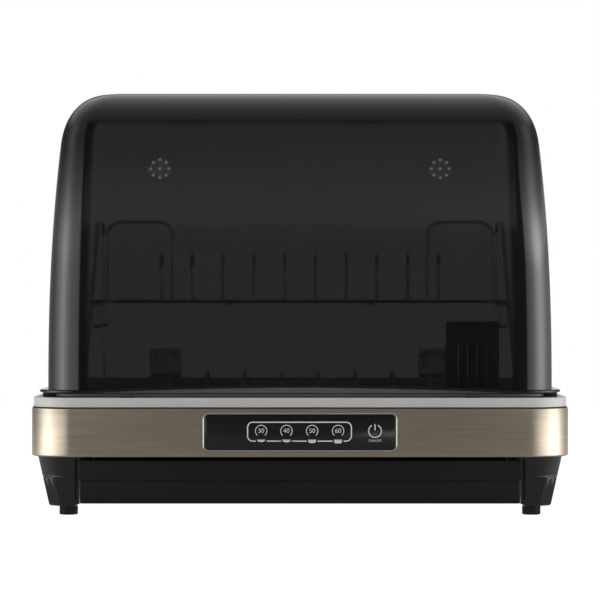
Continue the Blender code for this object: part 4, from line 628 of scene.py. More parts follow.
def holesTree():
    inputs = {
        "Disc Radius": "Float",
        "Thickness": "Float",
        "Holes": "Int",
        "Ring Radius": "Float",
        "Hole Radius": "Float",
        "Finish": "Material",
    }
    graph, given = growTree("discWithHoles", inputs)
    names = {"Vertices": 64, "Radius": given["Disc Radius"], "Depth": given["Thickness"]}
    disc = graph.add("GeometryNodeMeshCylinder", None, **names)
    names = {"Vertices": 20, "Radius": given["Hole Radius"], "Depth": 20 * mm}
    drill = graph.add("GeometryNodeMeshCylinder", None, **names)
    names = {"Vertices": given["Holes"], "Radius": given["Ring Radius"]}
    circle = graph.add("GeometryNodeMeshCircle", None, **names)
    drills = graph.add("GeometryNodeInstanceOnPoints", None, Points=circle, Instance=drill)
    join = graph.add("GeometryNodeJoinGeometry", None, drills)
    graph.tree.links.new(drill.socket, join.socket.node.inputs[0])
    tools = graph.add("GeometryNodeRealizeInstances", None, join)
    names = {"Mesh 1": disc, "Mesh 2": tools}
    plate = graph.add("GeometryNodeMeshBoolean", {"operation": "DIFFERENCE"}, **names)
    return endTree(graph, plate, given["Finish"])


trees = {"wire": wireTree(), "row": rowTree(), "copies": copiesTree(), "holes": holesTree()}


def grow(name, tree, values, finish, mesh=None):
    piece = addPiece(name, mesh or bmesh.new(), finish, flat=True)
    step = piece.modifiers.new("grow", "NODES")
    step.node_group = trees[tree]
    values = {**values, "Finish": finishes[finish]}
    for item in trees[tree].interface.items_tree:
        if item.in_out == "INPUT" and item.name in values:
            step[item.identifier] = values[item.name]
    return settle(piece)


def wire(name, paths, radius, finish="rackWire", closed=False, sides=14):
    mesh = bmesh.new()
    for path in paths:
        points = [mesh.verts.new(point) for point in path]
        for a, b in zip(points, points[1:]):
            mesh.edges.new((a, b))
        if closed:
            mesh.edges.new((points[-1], points[0]))
    return grow(name, "wire", {"Radius": radius, "Sides": sides}, finish, mesh)


def copies(name, shape, points, finish):
    mesh = bmesh.new()
    for point in points:
        mesh.verts.new(point)
    made = grow(name, "copies", {"Shape": shape}, finish, mesh)
    bpy.data.objects.remove(shape)
    return made


def merged(name, pieces):
    # One object from several, each already in place
    mesh = bmesh.new()
    for piece in pieces:
        mesh.from_mesh(piece.data)
    made = addPiece(name, mesh, pieces[0].data.materials[0].name)
    for piece in pieces:
        bpy.data.objects.remove(piece)
    return made


screwHead = {
    "radius": 2.6 * mm,
    "height": 1.5 * mm,
    "rimShare": 0.35,
    "slot": 0.7 * mm,
    "slotLength": 3.2 * mm,
    "slotShare": 0.45,
}


def screws(name, points, axis, body, size=1.0):
    radius, height, rim = screwHead["radius"] * size, screwHead["height"] * size, screwHead["rimShare"]
    profile = [(0, 0), (radius, 0)]
    profile += [(radius * across, height * (rim + (1 - rim) * up)) for across, up in sweep(6)]
    head = turned("head", profile, "platedZinc", sides=28)
    half, reach = screwHead["slot"] * size / 2, screwHead["slotLength"] * size / 2
    depth = height * screwHead["slotShare"]
    cut(head, *(block((-x, -y, depth), (x, y, height * 2)) for x, y in ((half, reach), (reach, half))))
    head.data.transform(Vector(axis).to_track_quat("Z", "Y").to_matrix().to_4x4())
    return hold(copies(name, head, points, "platedZinc"), body, "zinc")


# Dome lid with its flange, finger arch and vents

dome = {
    "flangeOffset": 7.5 * mm,
    "flangeThickness": 3 * mm,
    "flangeCorner": 36 * mm,
    "flangeCornerShare": 0.6,
    "flangeEdge": 0.9 * mm,
    "flangeEdgeShare": 0.3,
    "flangeOverlap": 0.8 * mm,
    "offset": 15 * mm,
    "corner": 35.5 * mm,
    "cornerLoss": 0.366,
    "cornerPower": 2.6,
    "wall": 2.6 * mm,
    "sideLean": 20 * mm,
    "sideDrop": 54 * mm,
    "sideTurn": 40 * mm,
    "frontLean": 6 * mm,
    "frontDrop": 36 * mm,
    "frontTurn": 42 * mm,
    "leanPower": 2.3,
    "turnPower": 2.2,
    "footRings": (0, 4 * mm, 8 * mm, 14 * mm, 20 * mm, 26 * mm),
    "wallRings": 16,
    "turnRings": 26,
    "frontSteps": 36,
    "cornerSteps": 18,
    "archRise": 5.2 * mm,
    "archHalf": 207 * mm,
    "archBlend": 30 * mm,
    # How far the painted shade of the turns reaches onto the flat wall, fades towards the back and covers
    # the top of the front shoulder
    "darkEdge": 2 * mm,
    "darkFade": 6 * mm,
    "darkBack": -20 * mm,
    "darkBlend": 60 * mm,
    "darkTopShare": 0.86,
    "darkTopFade": 4 * mm,
}
domeFoot = lidLow.z + dome["flangeThickness"]
domeHeight = lidHigh.z - domeFoot
# Points just past each corner, where the painted shade fades out onto the flat wall
domeNear = ((dome["darkEdge"], 1), (dome["darkEdge"] + dome["darkFade"], 0))


def domeReach(height, full, base, lean, drop, turn):
    inward = lean * (height / full) ** dome["leanPower"]
    above = clamp((height - full + drop) / drop)
    over = 1 - max(0, 1 - above ** dome["turnPower"]) ** (1 / dome["turnPower"])
    return base - inward - turn * over


def domeLoop(halfX, halfY, corner, z):
    # One level ring of the lid, lifted in front where the fingers go under
    points, turns = ring(halfX, halfY, corner, z, dome["cornerSteps"], domeNear, dome["frontSteps"])
    lifted = []
    for point in points:
        rise = 0
        if point.y < 0 and abs(point.x) < dome["archHalf"]:
            fade = max(0, 1 - max(0, point.z - domeFoot) / dome["archBlend"])
            rise = dome["archRise"] * (1 - (point.x / dome["archHalf"]) ** 2) * fade
        lifted.append(point + Vector((0, 0, rise)))
    return lifted, turns


def domeRing(height, inset, extra=0.0):
    full = domeHeight - inset
    baseX = halfWidth - dome["offset"] - inset
    baseY = halfDepth - dome["offset"] - inset
    halfX = domeReach(height, full, baseX, dome["sideLean"], dome["sideDrop"], dome["sideTurn"])
    halfY = domeReach(height, full, baseY, dome["frontLean"], dome["frontDrop"], dome["frontTurn"])
    tighter = 1 - dome["cornerLoss"] * (height / full) ** dome["cornerPower"]
    return domeLoop(halfX - extra, halfY - extra, dome["corner"] * tighter - inset, domeFoot + height)


def domeWall(inset):
    # Rings up one side of the wall, with how much each point belongs to a turn
    full = domeHeight - inset
    rings, turns = [], []
    shoulder = full - dome["sideDrop"]
    frontShoulder = full - dome["frontDrop"] * dome["darkTopShare"]
    heights = [*dome["footRings"], dome["archBlend"]]
    for step in range(1, dome["wallRings"]):
        heights.append(dome["archBlend"] + (shoulder - dome["archBlend"]) * step / dome["wallRings"])
    heights += [shoulder + dome["sideDrop"] * up for _, up in sweep(dome["turnRings"])]
    for height in heights:
        points, marks = domeRing(height, inset)
        # The top of the front shoulder is marked too, so it gets the painted shade
        over = clamp((height - frontShoulder) / dome["darkTopFade"])
        rings.append(points)
        turns.append([max(mark, over) for mark in marks])
    # The rings that close the top, the first of them in painted shade
    for extra, dark in domeNear:
        points, marks = domeRing(full, inset, extra)
        rings.append(points)
        turns.append([dark] * len(marks))
    # Seen through the window, only what faces the front keeps the painted shade at its turns
    for points, marks in zip(rings, turns):
        for index, point in enumerate(points):
            marks[index] *= clamp((dome["darkBack"] - point.y) / dome["darkBlend"])
    return rings, turns


def makeDome():
    outer, outerTurns = domeWall(0)
    inner, innerTurns = domeWall(dome["wall"])
    start, edge = dome["flangeOffset"], dome["flangeEdge"]
    part = edge * dome["flangeEdgeShare"]
    profile = [
        (dome["offset"] - dome["flangeOverlap"], domeFoot),
        (start + edge, domeFoot),
        (start + part, domeFoot - part),
        (start, domeFoot - edge),
        (start, lidLow.z + edge),
        (start + part, lidLow.z + part),
        (start + edge, lidLow.z),
        (dome["offset"] + dome["wall"], lidLow.z),
    ]
    flange, flangeTurns = [], []
    for offset, z in profile:
        corner = dome["flangeCorner"] - (offset - start) * dome["flangeCornerShare"]
        points, marks = domeLoop(halfWidth - offset, halfDepth - offset, corner, z)
        flange.append(points)
        # The flange is marked all over, so it is painted near-opaque black as shade
        flangeTurns.append([1] * len(marks))
    turns = outerTurns[::-1] + flangeTurns + innerTurns
    shell = addPiece("domeShell", loft(outer[::-1] + flange + inner, turns=turns), "smokeWall")
    for side, _ in leftAndRight:
        low, high, centre = extent(f"lid_vent_{side}")
        ends = [(centre.x, y, centre.z) for y in (low.y - vent["reach"], high.y + vent["reach"])]
        cut(shell, rod(*ends, vent["bore"], 64))
    return hold(shell, "lid", "smoke_plastic", "lid_dome")


vent = {
    "bore": 10.9 * mm,
    "reach": 5 * mm,
    "lean": 0.04,
    "rim": 11.8 * mm,
    "rimThickness": 0.5 * mm,
    "rimOverlap": 0.1 * mm,
    "rimEdge": 0.3 * mm,
    "rimShoulderShare": 0.4,
    "plug": 11.1 * mm,
    "ringRadius": 8.8 * mm,
    "hole": 1.45 * mm,
    "holes": 8,
}


def makeVent(side):
    low, high, centre = extent(f"lid_vent_{side}")
    lip, rim, lean = vent["rimThickness"], vent["rim"], vent["lean"]
    values = {
        "Disc Radius": vent["plug"],
        "Thickness": high.y - low.y - lip,
        "Holes": vent["holes"],
        "Ring Radius": vent["ringRadius"],
        "Hole Radius": vent["hole"],
    }
    plug = grow(f"ventPlug_{side}", "holes", values, "smokeVent")
    plug.data.transform(Matrix.Rotation(math.pi / 2 - lean / math.hypot(1, lean), 4, "X"))
    plug.data.transform(Matrix.Translation((centre.x, centre.y + lip / 2, centre.z)))
    hold(plug, "lid", "smoke_plastic", f"lid_vent_{side}")
    inner, shoulder = vent["plug"] - vent["rimOverlap"], lip * vent["rimShoulderShare"]
    profile = ((inner, 0), (rim - vent["rimEdge"], 0), (rim, shoulder), (rim, lip), (inner, lip))
    collar = turned(f"ventRim_{side}", profile, "smokeVent", axis=(0, 1, 0), sides=64, closed=True)
    collar.data.transform(Matrix.Rotation(-lean, 4, "X"))
    collar.data.transform(Matrix.Translation((centre.x, low.y + lip, centre.z)))
    hold(collar, "lid", "smoke_plastic")


makeDome()
for side, _ in leftAndRight:
    makeVent(side)
print("lid made")


# Steel band with the panel window

band = {
    "sheet": 0.6 * mm,
    "curl": 1.8 * mm,
    "curlSteps": 10,
    "gap": 1.5 * mm,
    "edge": 0.25 * mm,
    "edgeShoulder": 0.07 * mm,
    "gasket": (1.3 * mm, 2.4 * mm, 3.5 * mm),
    "windowHalf": 95.1 * mm,
    "windowHeight": 38.1 * mm,
    "windowCorner": 6.2 * mm,
    "windowRise": 5.2 * mm,
    "windowSteps": 10,
    "windowCut": (-5 * mm, 3 * mm),
}
windowCentre = bandLow.z + band["windowRise"] + band["windowHeight"] / 2


def windowLoop(inset, depth):
    # The window's outline at a depth behind the band's front
    half, height, corner = band["windowHalf"], band["windowHeight"] / 2, band["windowCorner"]
    outline = ring(half - inset, height - inset, corner - inset, 0, band["windowSteps"])[0]
    return upright(outline, depth - halfDepth, windowCentre)


def makeBand():
    top, curlZ = bandHigh.z - band["gap"], bandLow.z + band["curl"]
    edge, shoulder = band["edge"], band["edgeShoulder"]
    outer, inner = [(edge, top), (shoulder, top - shoulder), (0, top - edge)], [(band["sheet"], top)]
    for across, down in sweep(band["curlSteps"]):
        for side, radius in ((outer, band["curl"]), (inner, band["curl"] - band["sheet"])):
            side.append((band["curl"] - radius * across, curlZ - radius * down))
    sheet = swept("bandSheet", outer + inner[::-1], bandRing, "champagneSteel", closed=True)
    cut(sheet, loft([windowLoop(0, depth) for depth in band["windowCut"]]))
    hold(sheet, "base", "brushed_steel", "steel_band")
    near, far, deep = band["gasket"]
    foot = bandHigh.z - deep
    profile = ((near, bandHigh.z), (far, bandHigh.z), (far, foot), (near, foot))
    return hold(swept("bandGasket", profile, bandRing, "softRubber", closed=True), "base", "rubber")


makeBand()


# White rim and basin

basin = {
    "inset": 2 * mm,
    "face": 9.2 * mm,
    "ledge": 5 * mm,
    "kerb": 18.5 * mm,
    "wall": 2.4 * mm,
    "skirt": 45 * mm,
    "upstand": 20 * mm,
    "upstandThickness": 2.5 * mm,
    "corner": 52 * mm,
    "floor": 70 * mm,
    "fillet": 6 * mm,
    "slope": 18 * mm,
    "drain": 11 * mm,
    "spoutWall": 2 * mm,
    "bossX": 214 * mm,
    "bossRows": (-148 * mm, 105 * mm),
    "bossRadius": 4.7 * mm,
    "bossHeight": 6 * mm,
    "bossBore": 2.3 * mm,
    "mouthHalf": 38 * mm,
    "mouthDepths": (25 * mm, 18 * mm),
    "mouthHeights": (80 * mm, 100 * mm),
    "rimEdge": 1.1 * mm,
    "topDrop": (0.7 * mm, 0.3 * mm),
    "lidGap": 0.3 * mm,
    "sink": 1 * mm,
    "reach": 5 * mm,
    "boreReach": 3 * mm,
}
# A painted-shade skin on the kerb, with thin painted shadow lines at its foot and top
kerb = {
    "skin": 0.3 * mm,
    "gap": 0.1 * mm,
    "topGap": 0.7 * mm,
    "footShadowLine": (0.05 * mm, 0.85 * mm),
    "topShadowLine": (1.1 * mm, 0.15 * mm),
}
rimTop = lidLow.z - basin["lidGap"]
basinFloor = basin["floor"]
basinLedge = bandHigh.z + basin["face"]


def basinRing(offset, z):
    blend = clamp((offset - basin["ledge"]) / (basin["kerb"] - basin["ledge"]))
    return bandRing(offset, z, bandCorner + blend * (basin["corner"] - bandCorner), 16)


def makeKerbShade():
    # Painted shade: a grey skin on the white kerb under the lid and on the front of the upstand, standing in
    # for the shadow of the flange
    skin, low, high = kerb["skin"], basinLedge + kerb["gap"], rimHigh.z - kerb["topGap"]
    face, stand = basin["kerb"] - skin, basin["upstand"] - skin
    profile = [(face, low), (face, rimTop - kerb["gap"]), (stand, rimTop - skin), (stand, high)]
    profile += [(stand + 2 * skin, high), (stand + 2 * skin, low)]
    hold(swept("kerbSkin", profile, basinRing, "kerbGrey", closed=True), "base", "white_plastic")
    # Painted shadow lines: thin black strips along the foot of the kerb and under its top edge
    shadowLines = {
        "kerbSeamFoot": [basinLedge + rise for rise in kerb["footShadowLine"]],
        "kerbSeamTop": [rimTop - drop for drop in kerb["topShadowLine"]],
    }
    for name, (bottom, top) in shadowLines.items():
        profile = [(face - skin, bottom), (face - skin, top), (stand, top), (stand, bottom)]
        hold(swept(name, profile, basinRing, "softRubber", closed=True), "base", "rubber")


def makeBasin():
    inner, wall, sink = basin["upstand"] + basin["upstandThickness"], basin["wall"], basin["sink"]
    face, under, skirt = basin["inset"], basinLedge - wall, rimLow.z + basin["skirt"]
    inward, outward = basin["topDrop"]
    profile = [
        (inner + basin["slope"], basinFloor, 0),
        (inner, basinFloor, basin["fillet"]),
        (inner, rimHigh.z, basin["rimEdge"]),
        (basin["upstand"], rimHigh.z, basin["rimEdge"]),
        (basin["upstand"], rimTop - inward, 0.3 * mm),
        (basin["kerb"], rimTop - outward, 0.6 * mm),
        (basin["kerb"], basinLedge, 0.8 * mm),
        (face, basinLedge, 0.9 * mm),
        (face, skirt, 0.3 * mm),
        (face + wall, skirt, 0.3 * mm),
        (face + wall, under, 1 * mm),
        (inner - wall, under, 1 * mm),
        (inner - wall, basinFloor - wall, basin["fillet"] + wall),
        (inner + basin["slope"], basinFloor - wall, 0),
    ]
    shell = swept("rimAndBasin", softProfile(profile, 5), basinRing, "rimWhite")
    weld(shell, post(0, 0, rimLow.z, basinFloor - sink, basin["drain"] + basin["spoutWall"]))
    for x in (-basin["bossX"], basin["bossX"]):
        for y in basin["bossRows"]:
            top = basinFloor + basin["bossHeight"]
            weld(shell, post(x, y, basinFloor - sink, top, basin["bossRadius"], 28))
            cut(shell, post(x, y, basinFloor, top + basin["boreReach"], basin["bossBore"], 24))
    tools = [post(0, 0, -basin["reach"], basinFloor + basin["reach"], basin["drain"])]
    half, (back, front), (low, high) = basin["mouthHalf"], basin["mouthDepths"], basin["mouthHeights"]
    tools.append(block((-half, halfDepth - back, low), (half, halfDepth - front, high)))
    for side, _ in leftAndRight:
        low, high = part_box(f"lid_bumper_{side}")
        gap = pads["gap"]
        start = (low.x - gap, low.y - gap, basinLedge - pads["sink"] - gap)
        tools.append(block(start, (high.x + gap, high.y + gap, basinLedge + basin["reach"])))
    cut(shell, *tools)
    return hold(shell, "base", "white_plastic", "basin")


pads = {
    "height": 1.5 * mm,
    "sink": 1 * mm,
    "gap": 0.2 * mm,
    "edge": 0.35 * mm,
    "cornerX": (241 * mm, 253.5 * mm),
    "cornerY": (-154 * mm, -140 * mm),
    "cornerEdge": 0.8 * mm,
    "cornerGap": 0.1 * mm,
}


def makePads(side, sign):
    low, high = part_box(f"lid_bumper_{side}")
    foot = basinLedge - pads["sink"]
    ends = (low.x, low.y, foot), (high.x, high.y, basinLedge + pads["height"])
    pad = slab(f"bumperPad_{side}", *ends, "softRubber", pads["edge"], 2)
    hold(pad, "base", "rubber", f"lid_bumper_{side}")
    near, far = sorted(sign * x for x in pads["cornerX"])
    front, back = pads["cornerY"]
    ends = (near, front, foot), (far, back, lidLow.z - pads["cornerGap"])
    stop = slab(f"cornerPad_{side}", *ends, "softRubber", pads["cornerEdge"])
    return hold(stop, "base", "rubber")


makeBasin()
makeKerbShade()
for side, sign in leftAndRight:
    makePads(side, sign)
print("band and basin made")


# Black housing with its legs and the machine box

housing = {
    "offset": 1.1 * mm,
    "wall": 2.4 * mm,
    "floor": 2.5 * mm,
    "height": 44.5 * mm,
    "sink": 1 * mm,
    "reach": 5 * mm,
    "windowCut": (-1 * mm, 6 * mm),
    "machineHalf": 205 * mm,
    "machineCorner": 5 * mm,
    "drain": 16.2 * mm,
    "slotHalf": 45.3 * mm,
    "slotDepths": (11.8 * mm, 0.3 * mm),
    "inlet": 6.9 * mm,
    "inletReach": 9 * mm,
}
leg = {
    "inner": 220 * mm,
    "outer": 259.4 * mm,
    "front": 172 * mm,
    "depth": 53 * mm,
    "corner": 28 * mm,
    "facet": 12 * mm,
    "innerCorner": 1.2 * mm,
    "rearCorner": 12 * mm,
    "ribFront": 10 * mm,
    "ribBack": 40 * mm,
    "ribReach": 2.8 * mm,
    "ribOverlap": 3 * mm,
    "shoulder": 36.5 * mm,
    "shoulderBlend": 2.4 * mm,
    "shoulderSteps": 6,
    "cornerSteps": 12,
    "step": 1.6 * mm,
    "splay": 10.8 * mm,
    "rake": 5 * mm,
    "bottom": 8.8 * mm,
    "footEdge": 2 * mm,
}


def legRing(z, top, right, back, step, faceted):
    # Wide round corner on the outer side above the shoulder, a flat facet there below it
    share = max(0, top - z) / (top - leg["bottom"])
    outer = leg["outer"] - share * leg["splay"] - step
    front = leg["front"] - share * leg["rake"] - step
    rear = leg["front"] - leg["depth"] + share * leg["rake"] + step
    corners = [
        (outer, front, leg["corner"]),
        (leg["inner"], front, leg["innerCorner"]),
        (leg["inner"], rear, leg["innerCorner"]),
        (outer, rear, leg["rearCorner"]),
    ]
    points, steps = [], leg["cornerSteps"]
    for quarter, (x, y, radius) in enumerate(corners):
        angles = [(quarter + turn / steps) * math.pi / 2 for turn in range(steps + 1)]
        ways = [Vector((math.cos(angle), math.sin(angle), 0)) for angle in angles]
        corner = Vector((x, y, z))
        arc = [corner - (ways[0] + ways[-1] - way) * radius for way in ways]
        if quarter in (0, 3):
            start, end = corner - ways[-1] * leg["facet"], corner - ways[0] * leg["facet"]
            arc = [soft.lerp(start.lerp(end, turn / steps), faceted) for turn, soft in enumerate(arc)]
        points += arc
    return [Vector((right * point.x, back * point.y, point.z)) for point in points]


def addLeg(shell, bottom, right, back):
    foot, edge, blend = leg["bottom"], leg["footEdge"], leg["shoulderBlend"]
    levels = [(bottom + housing["sink"], 0, 0), (bottom, 0, 0), (leg["shoulder"] + blend, 0, 0)]
    for turn in range(leg["shoulderSteps"]):
        share = (turn + 1) / leg["shoulderSteps"]
        ease = share * share * (3 - 2 * share)
        levels.append((leg["shoulder"] + blend * (1 - share), leg["step"] * ease, ease))
    for across, down in sweep(4):
        levels.append((foot + edge * (1 - down), leg["step"] + edge * (1 - across), 1))
    weld(shell, loft([legRing(z, bottom, right, back, step, faceted) for z, step, faceted in levels]))
    ends = sorted((right * (leg["inner"] - leg["ribReach"]), right * (leg["inner"] + leg["ribOverlap"])))
    depths = sorted((back * (leg["front"] - leg["ribFront"]), back * (leg["front"] - leg["ribBack"])))
    top = bottom + housing["sink"]
    weld(shell, block((ends[0], depths[0], foot + edge), (ends[1], depths[1], top)))


def makeHousing():
    offset, wall, reach = housing["offset"], housing["wall"], housing["reach"]
    bottom, top = bandLow.z + offset, bandLow.z + housing["height"]
    radius, curlZ, floorTop = band["curl"] - offset, bandLow.z + band["curl"], bottom + housing["floor"]
    stations = [(band["curl"] - radius * across, curlZ - radius * down) for across, down in sweep(8)[::-1]]
    stations += [(offset, top), (offset + wall, top), (offset + wall, floorTop)]
    rings = [bandRing(*station, steps=12) for station in stations]
    shell = addPiece("baseHousing", loft(rings), "housingBlack")
    for right in (-1, 1):
        for back in (-1, 1):
            addLeg(shell, bottom, right, back)
    low, high, centre = extent("bottom_cover")
    half, deep, join = housing["machineHalf"], (high.y - low.y) / 2, bottom + housing["sink"]
    lowZ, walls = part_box("blower_housing")[0].z, []
    for inset, z in ((0, lowZ), (0, join), (wall, join), (wall, lowZ)):
        loop = ring(half - inset, deep - inset, housing["machineCorner"] - inset, z, 8)[0]
        walls.append(shifted(loop, 0, centre.y))
    weld(shell, loft(walls, closed=True))
    tools = [loft([windowLoop(0, depth) for depth in housing["windowCut"]])]
    tools.append(post(0, 0, bottom - reach, floorTop + reach, housing["drain"], 40))
    half, (front, back), duct = housing["slotHalf"], housing["slotDepths"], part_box("heater_duct")[1].y
    tools.append(block((-half, duct - front, bottom - reach), (half, duct + back, floorTop + reach)))
    inlet = extent("cord_inlet")[2]
    ends = [(inlet.x, inlet.y + way * housing["inletReach"], inlet.z) for way in (-1, 1)]
    tools.append(rod(*ends, housing["inlet"], 32))
    cut(shell, *tools)
    return hold(shell, "base", "black_plastic", "base_housing")


makeHousing()

foot = {
    "margin": 0.7 * mm,
    "edge": 0.4 * mm,
    "round": 1.2 * mm,
    "hollow": 3.4 * mm,
    "hollowDepth": 3 * mm,
    "hollowEdge": 0.5 * mm,
    "screwSize": 0.9,
}
feet = ("front_left", "front_right", "rear_left", "rear_right")


def makeFoot(corner):
    low, high, centre = extent(f"rubber_foot_{corner}")
    radius, top, curve = (high.x - low.x) / 2 + foot["margin"], high.z, foot["round"]
    hollow, depth, rounded = foot["hollow"], foot["hollowDepth"], foot["hollowEdge"]
    profile = [(0, top), (radius - foot["edge"], top), (radius, top - foot["edge"])]
    profile += [(radius - curve * (1 - across), curve * (1 - down)) for across, down in sweep(6)]
    profile += [(hollow + rounded, 0), (hollow, rounded), (hollow, depth), (0, depth)]
    pad = turned(f"footPad_{corner}", profile, "softRubber", (centre.x, centre.y, 0))
    hold(pad, "base", "rubber", f"rubber_foot_{corner}")
    return centre.x, centre.y, depth


screws("footScrews", [makeFoot(corner) for corner in feet], (0, 0, -1), "base", foot["screwSize"])
print("housing made")


# Touch panel in its bezel, with the print

panel = {
    "gap": 0.3 * mm,
    "recess": 0.3 * mm,
    "bezel": 1.2 * mm,
    "bezelRise": 0.1 * mm,
    "bezelDepth": 5.3 * mm,
    "bezelGrip": 1 * mm,
    "bezelLedge": 1.5 * mm,
    "sheet": 2 * mm,
    "sheetEdge": ((0.5 * mm, 0), (0.15 * mm, 0.12 * mm), (0, 0.5 * mm)),
    "depth": 9.3 * mm,
    "depthStep": 1.6 * mm,
    "print": 0.08 * mm,
    "printSink": 0.02 * mm,
    "line": 1.15 * mm,
    "thinLine": 0.75 * mm,
    "keys": (-37.8 * mm, -13.2 * mm, 11.8 * mm, 37.1 * mm),
    "keyHeight": 83.9 * mm,
    "keyRadius": 5.6 * mm,
    "keyArc": (-50, 230),
    "marks": ("30", "40", "50", "60"),
    "markSize": 6.3 * mm,
    "switch": "ON/OFF",
    "switchSize": 3.5 * mm,
    "switchDrop": 9.6 * mm,
    "frameHalf": (50.5 * mm, 9.2 * mm),
    "frameCentre": (-0.5 * mm, 83.25 * mm),
    "frameCorner": 5 * mm,
    "frameGap": 1.2 * mm,
    "cupHeight": 75.5 * mm,
    "cupHalf": 4.05 * mm,
    "cupDepth": (2.2 * mm, 2.5 * mm, 3.2 * mm, 3.6 * mm),
    "cupTaper": (1.0, 0.85, 0.55, 0.4),
    "cupRim": 0.55 * mm,
    "cupGap": 0.15 * mm,
    "cupShare": 0.92,
    "power": (73 * mm, 83.9 * mm),
    "powerRadius": 6.2 * mm,
    "powerLine": 1.1 * mm,
    "powerArc": (118, 422),
    "powerStem": (6.6 * mm, 0.6 * mm),
}


def makeBezel():
    gap, rise, deep, grip = panel["gap"], panel["bezelRise"], panel["bezelDepth"], panel["bezelGrip"]
    inner = gap + panel["bezel"]
    profile = [
        (gap, 2 * mm, 0),
        (gap, -rise, 0.6 * mm),
        (inner, -rise, 0.55 * mm),
        (inner, deep, 0),
        (-grip, deep, 0),
        (-grip, deep - panel["bezelLedge"], 0),
        (gap, deep - panel["bezelLedge"], 0),
    ]
    rim = swept("bezelFrame", softProfile(profile), windowLoop, "champagneBright", closed=True)
    return hold(rim, "base", "bezel_steel", "panel_bezel")


def makePanel():
    edge, front, back = 2 * panel["gap"] + panel["bezel"], panel["recess"], panel["depth"]
    step = edge + panel["depthStep"]
    profile = [(edge + inward, front + behind) for inward, behind in panel["sheetEdge"]]
    profile += [(edge, back), (step, back), (step, front + panel["sheet"])]
    face = swept("panelFace", profile, windowLoop, "panelBlack")
    return hold(face, "base", "gloss_black", "control_panel")


printDepths = [panel["recess"] - halfDepth + shift for shift in (-panel["print"], panel["printSink"])]


def stroke(path, width):
    # Flat line of print along a path of (x, z) points, a little proud of the panel
    mesh = bmesh.new()
    points = [Vector(point) for point in path]
    verts = []
    for before, point, after in zip(points[:1] + points, points, points[1:] + points[-1:]):
        along = (after - before).normalized()
        side = Vector((-along.y, along.x)) * width / 2
        pair = (point + side, point - side)
        verts.append([mesh.verts.new((p.x, y, p.y)) for y in printDepths for p in pair])
    for end in (verts[0], verts[-1]):
        mesh.faces.new([end[i] for i in (0, 1, 3, 2)])
    for a, b in zip(verts, verts[1:]):
        for i, j in ((0, 1), (1, 3), (3, 2), (2, 0)):
            mesh.faces.new((a[i], a[j], b[j], b[i]))
    bmesh.ops.recalc_face_normals(mesh, faces=mesh.faces)
    return addPiece("stroke", mesh, "printInk", flat=True)


def patch(outline):
    # Filled flat shape of print from its outline of (x, z) points
    rings = [[(x, y, z) for x, z in outline] for y in printDepths]
    return addPiece("patch", loft(rings), "printInk", flat=True)


def arcPath(x, z, radius, start, end, steps=40):
    angles = [math.radians(start + (end - start) * step / steps) for step in range(steps + 1)]
    return [(x + radius * math.cos(a), z + radius * math.sin(a)) for a in angles]


def label(text, x, z, size):
    curve = bpy.data.curves.new("label", "FONT")
    curve.body = text
    curve.size = size
    curve.align_x = "CENTER"
    curve.align_y = "CENTER"
    curve.extrude = panel["print"] / 2
    curve.resolution_u = 6
    item = addObject("label", curve)
    graph = bpy.context.evaluated_depsgraph_get()
    data = bpy.data.meshes.new_from_object(item.evaluated_get(graph))
    bpy.data.objects.remove(item)
    place = Matrix.Translation((x, panel["recess"] - halfDepth - panel["print"] / 2, z))
    data.transform(place @ Matrix.Rotation(math.pi / 2, 4, "X"))
    coat(data, finishes["printInk"])
    return addObject("label", data)


def printFrame():
    # Rounded frame line, open at the bottom where the cups stand
    (halfX, halfZ), (centreX, centreZ) = panel["frameHalf"], panel["frameCentre"]
    outline = ring(halfX, halfZ, panel["frameCorner"], 0, 8)[0]
    loop = [(point.x + centreX, point.y + centreZ) for point in outline]
    bottom = centreZ - halfZ
    low = [point for point in loop if point[1] < bottom + leastRise]
    start = loop.index(max(low))
    upper = [point for point in loop[start:] + loop[:start] if point not in low]
    reach = panel["cupHalf"] + panel["frameGap"]
    gaps = [(x - reach, x + reach) for x in panel["keys"]]
    line = [(gaps[-1][1], bottom), max(low), *upper, min(low), (gaps[0][0], bottom)]
    between = [[(right, bottom), (left, bottom)] for (_, right), (left, _) in zip(gaps, gaps[1:])]
    return [stroke(path, panel["line"]) for path in (line, *between)]


def printKey(x, mark, depth, taper):
    # Ring with its number, and under it a cup that is fuller from key to key
    z, half, top, rim = panel["keyHeight"], panel["cupHalf"], panel["cupHeight"], panel["cupRim"]
    circle = stroke(arcPath(x, z, panel["keyRadius"], *panel["keyArc"]), panel["thinLine"])
    number = label(mark, x, z, panel["markSize"])
    edge = stroke([(x - half, top - rim / 2), (x + half, top - rim / 2)], rim)
    outline = []
    for across, down in sweep(24, 2):
        wide = math.copysign(abs(across) ** taper, across) * half * panel["cupShare"]
        outline.append((x - wide, top - rim - panel["cupGap"] - (depth - rim) * down ** taper))
    return [circle, number, edge, patch(outline)]


def makePrint():
    parts = printFrame()
    for key in zip(panel["keys"], panel["marks"], panel["cupDepth"], panel["cupTaper"]):
        parts += printKey(*key)
    (x, z), (top, bottom) = panel["power"], panel["powerStem"]
    parts.append(stroke(arcPath(x, z, panel["powerRadius"], *panel["powerArc"]), panel["powerLine"]))
    parts.append(stroke([(x, z + top), (x, z + bottom)], panel["powerLine"]))
    parts.append(label(panel["switch"], x, z - panel["switchDrop"], panel["switchSize"]))
    return hold(merged("panelPrint", parts), "base", "white_plastic")


makeBezel()
makePanel()
makePrint()
print("panel made")


# Drip tray

tray = {
    "half": 213.6 * mm,
    "wall": 2.2 * mm,
    "corner": 9 * mm,
    "cornerLeast": 0.5 * mm,
    "lip": 2.6 * mm,
    "lipThickness": 2.3 * mm,
    "bottom": 12.6 * mm,
    "slope": 14 * mm,
    "rim": 49 * mm,
    "face": 4 * mm,
    "faceOverlapShare": 0.4,
    "edge": 1.1 * mm,
    "step": 34.8 * mm,
    "setback": 1.6 * mm,
}


